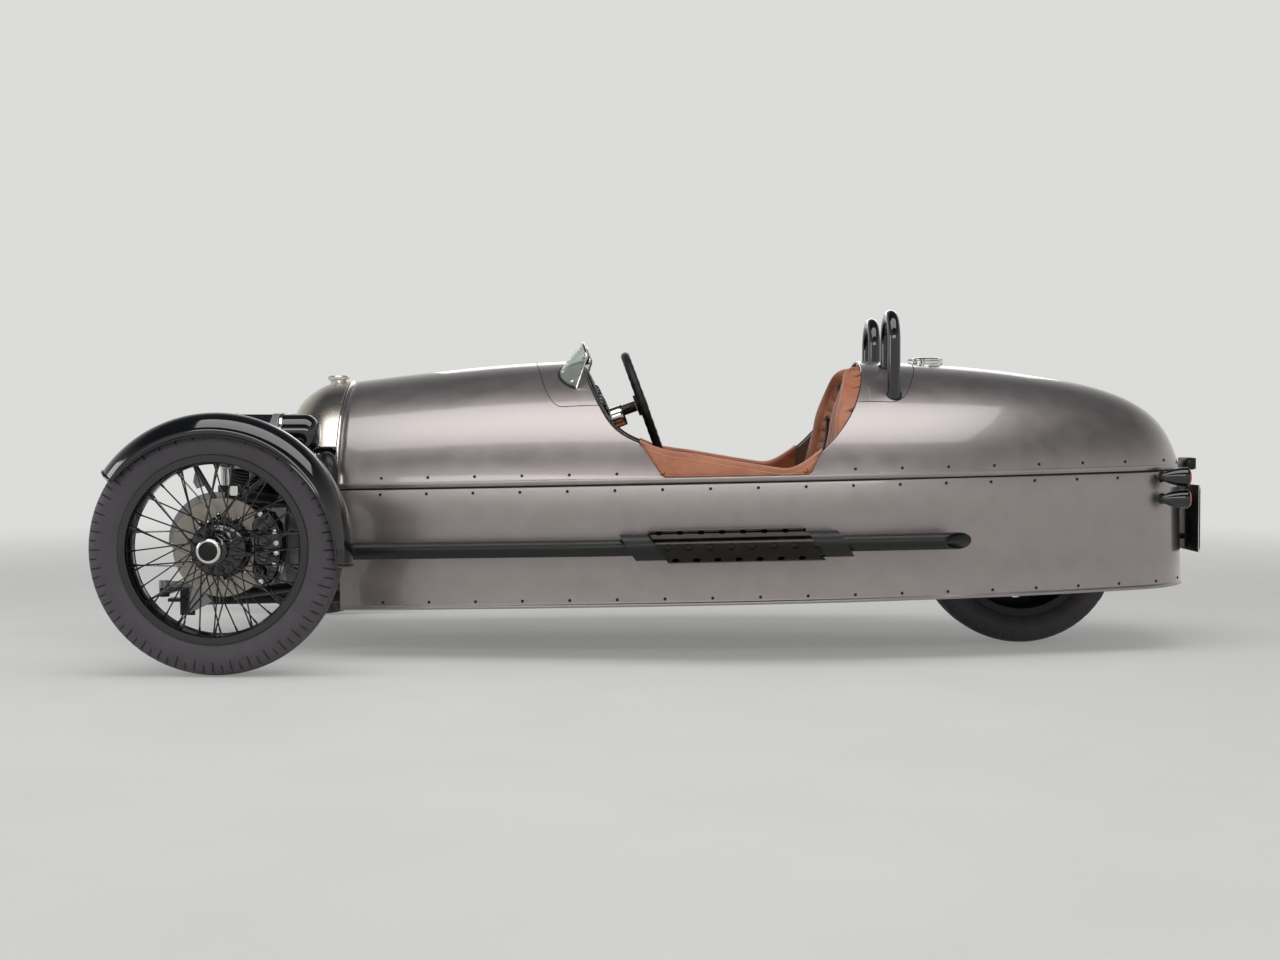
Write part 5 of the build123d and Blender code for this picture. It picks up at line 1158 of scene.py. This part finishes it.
boss.turn([(-13.6, 21), (-15.6, 20.4), (-16, 18), (-15.2, 0.1)], WHEEL, column, 40)
boss.piece("wheel_boss", GLOSS_BLACK, "steering_wheel_body", CRISP, slot="gloss_black")
spoke_bolts = [(on_wheel(31, radians(60 * i), -4), column * -1) for i in range(6)]
hexagons(spoke_bolts, 0.0032, 0.004).piece("wheel_bolts", POLISHED, "steering_wheel_body", CRISP,
                                           slot="polished")
SLEEVE = WHEEL + column * 0.136 - Vector((0, 0, 0.014))
sleeve = Shape().turn([(-70, 27), (-72, 31), (-69, 34), (-60, 34.6), (0, 35), (74, 35)], SLEEVE, column, 56)
sleeve.piece("column_sleeve", POLISHED, slot="polished", crease=SOFT)
stalk_root = SLEEVE - column * 0.064
stalks = Shape().turn([(-74.4, 0.1), (-74.4, 20), (-74.8, 25), (-72.4, 30.4), (-70, 31)], SLEEVE, column, 48)
stalk_line = [stalk_root + Vector((0, 0.03, 0.01)), stalk_root + Vector((-0.012, 0.07, 0.016)),
              stalk_root + Vector((-0.03, 0.115, 0.024))]
stalks.bar(through(stalk_line, 16), np.linspace(0.0046, 0.0064, 16), sides=12)
stalks.piece("column_stalk", SATIN_BLACK, slot="black_steel", crease=EASED)

DASH_FOOT_X, DASH_FOOT_Z, DASH_TOP_X, DASH_TOP_Z = 179, 620, 281, 858
dash_up = (in_body(DASH_TOP_X, 0, DASH_TOP_Z) - in_body(DASH_FOOT_X, 0, DASH_FOOT_Z)).normalized()
dash_out = Vector(ASIDE).cross(dash_up) * -1


def on_dash(height, y):
    """Place on the dashboard's rear face at a body height."""
    slope = (height - DASH_FOOT_Z) * (DASH_TOP_X - DASH_FOOT_X) / (DASH_TOP_Z - DASH_FOOT_Z)
    return in_body(DASH_FOOT_X + slope, y, height)


DIAL_MARKS = 11
bezels, dials, needles = Shape(), Shape(), Shape()
for height, y, radius in ((758, 0, 50), (742, 108, 29), (742, -108, 29), (748, 186, 22), (782, 62, 15)):
    spot = on_dash(height, y)
    bezels.turn([(0, radius + 3), (5, radius + 3), (8, radius + 1), (9, radius - 1.5), (7, radius - 3),
                 (3, radius - 3.4)], spot, dash_out, 44)
    dials.turn([(2.6, radius - 2), (2.6, 0.1)], spot, dash_out, 44)
    needles.turn([(2.8, 4), (5.4, 3.6), (5.8, 0.1)], spot, dash_out, 16)
    for i in range(DIAL_MARKS):
        a = radians(225 - 27 * i)
        ray = level * cos(a) + dash_up * sin(a)
        ends = [spot + dash_out * 0.0028 + ray * radius * MM * reach for reach in (0.74, 0.88)]
        needles.bar(ends, 0.0007, sides=4)
    a = radians(205)
    ray = level * cos(a) + dash_up * sin(a)
    needles.bar([spot + dash_out * 0.0046, spot + dash_out * 0.0046 + ray * radius * MM * 0.72],
                [0.0012, 0.0004], sides=6)
for y in (-66, -44, 44, 66):
    spot = on_dash(692, y)
    bezels.turn([(0, 7), (3, 7), (4, 5), (5, 2.4), (20, 3.2), (22, 2.4), (22.4, 0.1)], spot, dash_out, 16)
bezels.piece("dial_bezels", GLOSS_BLACK, slot="gloss_black")
dials.piece("dial_faces", DIAL, slot="plate_blank")
needles.piece("dial_marks", SEAL, slot="black_steel")

lever = Shape().turn([(-23, 6), (-19, 14), (-12, 20), (-4, 23.2), (4, 23.2), (12, 20), (18.5, 14), (22, 7),
                      (23, 0.1)], in_body(126, 0, 462), (-0.17, 0, 1), 36)
lever.piece("lever_knob", GLOSS_BLACK, slot="gloss_black", crease=ROUND)
rod = Shape().bar([in_body(150, 0, 332), in_body(128, 0, 446)], 0.0082, sides=18)
rod.piece("lever_rod", POLISHED, slot="polished", crease=ROUND)
boot_line = [(0, 52), (3, 50), (8, 46), (11, 40), (17, 37), (20, 31), (26, 28), (29, 22), (36, 19),
             (39, 14), (46, 11), (50, 8)]
boot = Shape().turn(boot_line, in_body(150, 0, 331), (-0.19, 0, 1), 48)
boot.piece("lever_boot", BLACK_HIDE, slot="wheel_leather", crease=ROUND)

# Screens: two small clear curves standing on the scuttle
SCREEN_R, SCREEN_THICK, SCREEN_LEAN = 133.0, 6, radians(39)
SCREEN_OUTLINE = [(450, 750), (350, 975), (297, 955), (276, 890), (312, 780), (330, 750)]
screen_up = Vector((-sin(SCREEN_LEAN), 0, cos(SCREEN_LEAN)))
screen_ahead = Vector((cos(SCREEN_LEAN), 0, sin(SCREEN_LEAN)))
screen_foot = in_body(356, 165, 853) - mm(SCREEN_R / cos(SCREEN_LEAN), 0, 0)


def inside(x, z):
    """Whether a place in side view lies within the screen's outline."""
    turns = False
    for (x1, z1), (x2, z2) in zip(SCREEN_OUTLINE, SCREEN_OUTLINE[1:] + SCREEN_OUTLINE[:1]):
        if (z1 > z) != (z2 > z) and x < x1 + (z - z1) * (x2 - x1) / (z2 - z1):
            turns = not turns
    return turns


def on_screen(turn, rise, radius=SCREEN_R):
    """Place on the left screen's curve: turn round it and rise up it."""
    return screen_foot + (screen_up * rise + Vector((0, radius * sin(turn), 0))
                          + screen_ahead * (radius * cos(turn))) * MM


def screen_span(turn):
    """Lowest and highest rise of the screen at a turn: from the scuttle's skin to the outline."""
    found = []
    for rise in np.arange(-200, 230, 1.0):
        point = on_screen(turn, rise) / MM
        x = (point.x + RAKE_SHIFT) * cos(RAKE) - point.z * sin(RAKE)
        z = (point.x + RAKE_SHIFT) * sin(RAKE) + point.z * cos(RAKE)
        r, middle, _ = arch(half_width(x), top_rise(x))
        if inside(x, z) and z > middle + sqrt(max(r * r - point.y ** 2, 0.0)):
            found.append(rise)
    return (found[0], found[-1]) if found else None


turns = [t for t in np.radians(np.arange(-89, 89.1, 0.5)) if screen_span(t)]
turns = np.linspace(turns[0], turns[-1], 61)
spans = [screen_span(t) for t in turns]
pane_rows, foot_seal, top_edge = [], [], []
for turn, span in zip(turns, spans):
    if not span:
        continue
    rises = np.linspace(span[0], span[1], 24)
    pane_rows.append([on_screen(turn, rise) for rise in rises]
                     + [on_screen(turn, rise, SCREEN_R - SCREEN_THICK) for rise in rises[::-1]])
    foot_seal.append(on_screen(turn, span[0] + 2, SCREEN_R - 3))
    top_edge.append(on_screen(turn, span[1], SCREEN_R - 3))
pane = Shape().block(pane_rows).both()
pane.piece("screen_panes", GLASS, stands_for=("windscreens",), slot="clear_screen", crease=CRISP)
binding = Shape().bar(through(top_edge, 90), 0.0042, sides=10)
binding.both().piece("screen_binding", POLISHED, slot="polished", crease=ROUND)
seal = Shape().bar(through(foot_seal, 70), 0.0058, sides=10)
seal.both().piece("screen_seals", SEAL, slot="black_steel", crease=ROUND)
screen_bolts = []
for i in (6, 22, 38, 54):
    point = on_screen(turns[i], spans[i][0] + 18)
    screen_bolts.append((point, (point - on_screen(turns[i], spans[i][0] + 18, SCREEN_R - 20)).normalized()))
domes(screen_bolts, 0.0055, 0.003).both().piece("screen_screws", POLISHED, slot="polished", crease=ROUND)

# Rubber rings where the roll hoops meet the deck
HOOP_X, HOOP_R = -634.0, 19.0
feet = Shape()
for y in (138.0, 300.0):
    r, _, angle = arch(half_width(HOOP_X), top_rise(HOOP_X))
    share = np.arcsin(y / r) / angle
    point = on_arch(HOOP_X, share)
    out = (on_arch(HOOP_X, share, 10.0) - point).normalized()
    feet.turn([(-2, 24), (2, 24), (4, 22.4), (4.6, HOOP_R)], point, out, 40)
feet.both().piece("hoop_grommets", SEAL, slot="black_steel")

# Fillers: a lever cap on the tail, a screw cap on the cowl
body_up = (in_body(0, 0, 10) - in_body(0, 0, 0)).normalized()
caps = Shape()
FUEL = in_body(-779, 0, 842)
body_ahead = in_body(1, 0, 0) - in_body(0, 0, 0)
caps.turn([(-4, 45), (7, 45), (8.5, 43), (9, 41), (17, 41), (18, 43), (19, 46.5), (23, 46.5), (25.6, 44),
           (27.6, 36), (28.6, 22), (29, 0.1)], FUEL, body_up, 72)
caps.plate([(36, -13), (50, -9), (58, -4), (58, 4), (50, 9), (36, 13)], FUEL + body_up * 0.0185,
           body_ahead, ASIDE, 5, 1.5)
caps.plate([(-50, -12), (-38, -12), (-38, 12), (-50, 12)], FUEL + body_up * 0.004, body_ahead, ASIDE, 19, 2.0)
WATER = in_body(1060, 0, 822)
caps.turn([(-22, 26), (14, 26), (16, 27), (17, 30), (18, 31.6), (27, 31.6), (29, 30), (30.4, 24),
           (31, 0.1)], WATER, body_up, 64)
KNURLS = 40
for i in range(KNURLS):
    a = 2 * pi * i / KNURLS
    rib = WATER + Vector((cos(a), sin(a), 0)) * 0.0316 + body_up * 0.0185
    caps.bar([rib, rib + body_up * 0.008], 0.0014, sides=6)
caps.piece("filler_lids", POLISHED, stands_for=("filler_caps",), slot="polished")

# Tail lamps: two ogives each side on short arms
lamp_shells, lamp_lenses, lamp_rings = Shape(), Shape(), Shape()
stern_middle = in_body(STERN_MID, 0, 0) / MM
TAIL_LAMP_X, TAIL_LAMP_Y, TAIL_ARM = -1432, 262, 43
for z in (455.0, 521.0):
    tip = mm(TAIL_LAMP_X, TAIL_LAMP_Y, z)
    lamp_shells.turn([(0, 0.1), (1.5, 4), (6, 8.6), (14, 13.6), (26, 19), (40, 23.4), (54, 26.4), (66, 28),
                      (77, 28.4)], tip, BEHIND, 56)
    lamp_rings.turn([(76, 28), (76, 29.4), (80, 29.8), (82.6, 29), (83, 27), (80, 26.4)], tip, BEHIND, 56)
    lamp_lenses.turn([(80, 26.6), (84, 26.2), (88.5, 22.4), (91.4, 14), (92.6, 5), (92.8, 0.1)], tip,
                     BEHIND, 48)
    middle = Vector((TAIL_LAMP_X - TAIL_ARM, TAIL_LAMP_Y, z))
    shift = Vector((middle.x - stern_middle.x - z * sin(RAKE), middle.y, 0))
    inner = middle - shift.normalized() * (shift.length - STERN_R - 0.8)
    lamp_shells.bar([inner * MM, middle * MM], 0.009, sides=18)
    lamp_shells.turn([(0, 17), (4, 17), (6, 14), (8, 9.5)], inner * MM, shift, 28)
lamp_shells.both().piece("tail_lamp_bodies", GLOSS_BLACK, stands_for=("tail_lamp_shells",),
                         slot="gloss_black", crease=EASED)
lamp_rings.both().piece("tail_lamp_rings", GLOSS_BLACK, slot="gloss_black")
lamp_lenses.both().piece("tail_lamp_glasses", AMBER, stands_for=("tail_lamp_lenses",), slot="lamp_orange",
                         crease=SOFT)

# Plate: rim, screws, lamp hood with its glass
PLATE_X, PLATE_LOW, PLATE_W, PLATE_H = -1587.0, 288.0, 285.0, 203.0
PLATE_MID_Z = PLATE_LOW + PLATE_H / 2
plate_mid = mm(PLATE_X - 2.4, 0, PLATE_MID_Z)
rim_line = [plate_mid + Vector((-0.0005, y * MM, z * MM)) for y, z in oblong(PLATE_W - 3, PLATE_H - 3, 14)]
plate_rim = Shape().bar(rim_line, 0.0024, sides=8, closed=True)
plate_rim.plate(oblong(PLATE_W, PLATE_H, 3), mm(PLATE_X + 0.62, 0, PLATE_MID_Z), ASIDE, UPWARD, 0.36, 0.1)
for edge_z in (-PLATE_H / 2, PLATE_H / 2):
    plate_rim.plate(oblong(PLATE_W, 2.0, 0.5), mm(PLATE_X - 2.6, 0, PLATE_MID_Z + edge_z),
                    ASIDE, UPWARD, 3.4, 0.3)
plate_rim.piece("plate_rim", SATIN_BLACK, slot="black_steel", crease=ROUND)
plate_screws = [(plate_mid + Vector((-0.0004, y * MM, 0.082)), BEHIND) for y in (-100, 100)]
domes(plate_screws, 0.006, 0.003).piece("plate_screws", POLISHED, slot="polished", crease=ROUND)
hood = Shape().plate(oblong(94, 36, 14), mm(-1607.4, 0, 556), ASIDE, UPWARD, 28.6, 4.0)
hood.piece("plate_lamp_hood", SATIN_BLACK, slot="black_steel", crease=EASED)
hood_glass = Shape().plate(oblong(18, 70, 6), mm(-1597, 0, 536.4), AHEAD, ASIDE, 3.0, 0.8)
hood_glass.piece("plate_lamp_glass", LAMP_GLASS, slot="lamp_glass", crease=EASED)

# Finishes of the solids that show as they are
DRESS = {
    SEAL: ("belt_rail",),
    CARPET: ("floor_pan",),
    POWDER: ("front_bulkhead", "chassis_frame", "lower_wishbones", "upper_wishbones", "rear_fork",
             "steering_rack", "rear_wheel", "plate_bracket"),
    POLISHED: ("radiator_grille",),
    MATRIX: ("radiator_core",),
    BLACK_HIDE: ("dashboard",),
    GLOSS_BLACK: ("roll_hoops",),
    CAST_ALLOY: ("engine_block", "upright_left", "upright_right"),
    SATIN_BLACK: ("exhaust_pipes", "silencers", "steering_column"),
    DARK_STEEL: ("heat_shields",),
    PLATE: ("number_plate",),
}
for material, names in DRESS.items():
    for name in names:
        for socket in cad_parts[name].material_slots:
            socket.material = material

# Studio: a pale floor that meets a pale surround at the horizon
PALE, HIGH, FILL, FILL_STRENGTH = "#dcdcda", "#3f4247", "#c8ccd2", 0.42
HAZE_NEAR, HAZE_FAR, FLOOR_HALF = 2.0, 7.5, 40


def seen_directly(tree):
    """Share of rays that look at a surface from the camera, through glass or off metal."""
    seen = add(tree, "ShaderNodeLightPath")
    direct = add(tree, "ShaderNodeMath", {0: (seen, "Is Camera Ray"), 1: (seen, "Is Transmission Ray")},
                 operation="MAXIMUM")
    return add(tree, "ShaderNodeMath", {0: (direct, "Value"), 1: (seen, "Is Glossy Ray")},
               operation="MAXIMUM")


# Swept concrete: pale and matt, faintly clouded
FLOOR_PALE = finish("swept_pale_concrete", "#d2d1cd", "#d8d7d3", 0.75, 0.05, 420, 6.0, 0.15)
tree = FLOOR_PALE.node_tree
spot = add(tree, "ShaderNodeNewGeometry")
away = add(tree, "ShaderNodeVectorMath", {0: (spot, "Position")}, operation="LENGTH")
far = add(tree, "ShaderNodeMapRange",
          {"Value": (away, "Value"), "From Min": HAZE_NEAR, "From Max": HAZE_FAR, "To Min": 0.3},
          interpolation_type="SMOOTHSTEP")
share = add(tree, "ShaderNodeMath", {0: (far, "Result"), 1: (seen_directly(tree), "Value")},
            operation="MULTIPLY")
haze = add(tree, "ShaderNodeEmission", {"Color": linear(PALE), "Strength": 1.0})
blend = add(tree, "ShaderNodeMixShader",
            {0: (share, "Value"), 1: (tree.nodes["Principled BSDF"], "BSDF"), 2: (haze, "Emission")})
tree.links.new(blend.outputs["Shader"], tree.nodes["Material Output"].inputs["Surface"])
floor = bpy.data.meshes.new("studio_floor")
floor.from_pydata([(x * FLOOR_HALF, y * FLOOR_HALF, 0) for x, y in ((-1, -1), (1, -1), (1, 1), (-1, 1))],
                  [], [(0, 1, 2, 3)])
floor.materials.append(FLOOR_PALE)
floor = bpy.data.objects.new("studio_floor", floor)
bpy.context.scene.collection.objects.link(floor)

world = bpy.data.worlds.new("studio")
bpy.context.scene.world = world
world.use_nodes = True
sky = world.node_tree
background = sky.nodes["Background"]
ray = add(sky, "ShaderNodeTexCoord")
ray = add(sky, "ShaderNodeSeparateXYZ", {0: (ray, "Generated")})
shade = add(sky, "ShaderNodeValToRGB", {"Fac": (ray, "Z")})
shade.color_ramp.elements[0].position, shade.color_ramp.elements[0].color = 0.24, linear(PALE)
shade.color_ramp.elements[1].position, shade.color_ramp.elements[1].color = 0.7, linear(HIGH)
pale = add(sky, "ShaderNodeBackground", {"Color": (shade, "Color"), "Strength": 1.0})
choose = add(sky, "ShaderNodeMixShader",
             {0: (seen_directly(sky), "Value"), 1: (background, "Background"), 2: (pale, "Background")})
background.inputs["Color"].default_value = linear(FILL)
background.inputs["Strength"].default_value = FILL_STRENGTH
sky.links.new(choose.outputs["Shader"], sky.nodes["World Output"].inputs["Surface"])


def soft_light(name, place, target, size, power):
    """A studio softbox at a place, turned to a target."""
    data = bpy.data.lights.new(name, "AREA")
    data.shape, data.size, data.size_y, data.energy = "RECTANGLE", size[0], size[1], power
    lamp = bpy.data.objects.new(name, data)
    lamp.location = place
    lamp.rotation_mode = "QUATERNION"
    lamp.rotation_quaternion = (Vector(target) - Vector(place)).to_track_quat("-Z", "Y")
    bpy.context.scene.collection.objects.link(lamp)


soft_light("overhead_bank", (0.0, 1.2, 4.0), (0, 0, 0.2), (5.0, 2.4), 105)
soft_light("near_side_strip", (0.2, 4.6, 2.6), (0, 0, 0.5), (5.0, 0.8), 50)
soft_light("far_side_fill", (-0.5, -4.5, 2.4), (0, 0, 0.5), (4.0, 1.2), 26)
soft_light("front_fill", (4.8, 1.2, 1.8), (0.8, 0, 0.5), (1.6, 1.6), 32)

camera = bpy.data.objects.new("photo_view", bpy.data.cameras.new("photo_view"))
bpy.context.scene.collection.objects.link(camera)
IMAGE_WIDTH, FOCAL_PX, HORIZON_DROP_PX, SENSOR_MM = 1280.0, 1755.0, 58.0, 36.0
camera.data.sensor_width = SENSOR_MM
camera.data.lens = SENSOR_MM * FOCAL_PX / IMAGE_WIDTH
camera.location = (0.1205, 5.5, 0.685)
camera.rotation_euler = (radians(90) - atan(HORIZON_DROP_PX / FOCAL_PX), 0, radians(180))
bpy.context.scene.camera = camera
bpy.context.scene.view_settings.view_transform = "Standard"
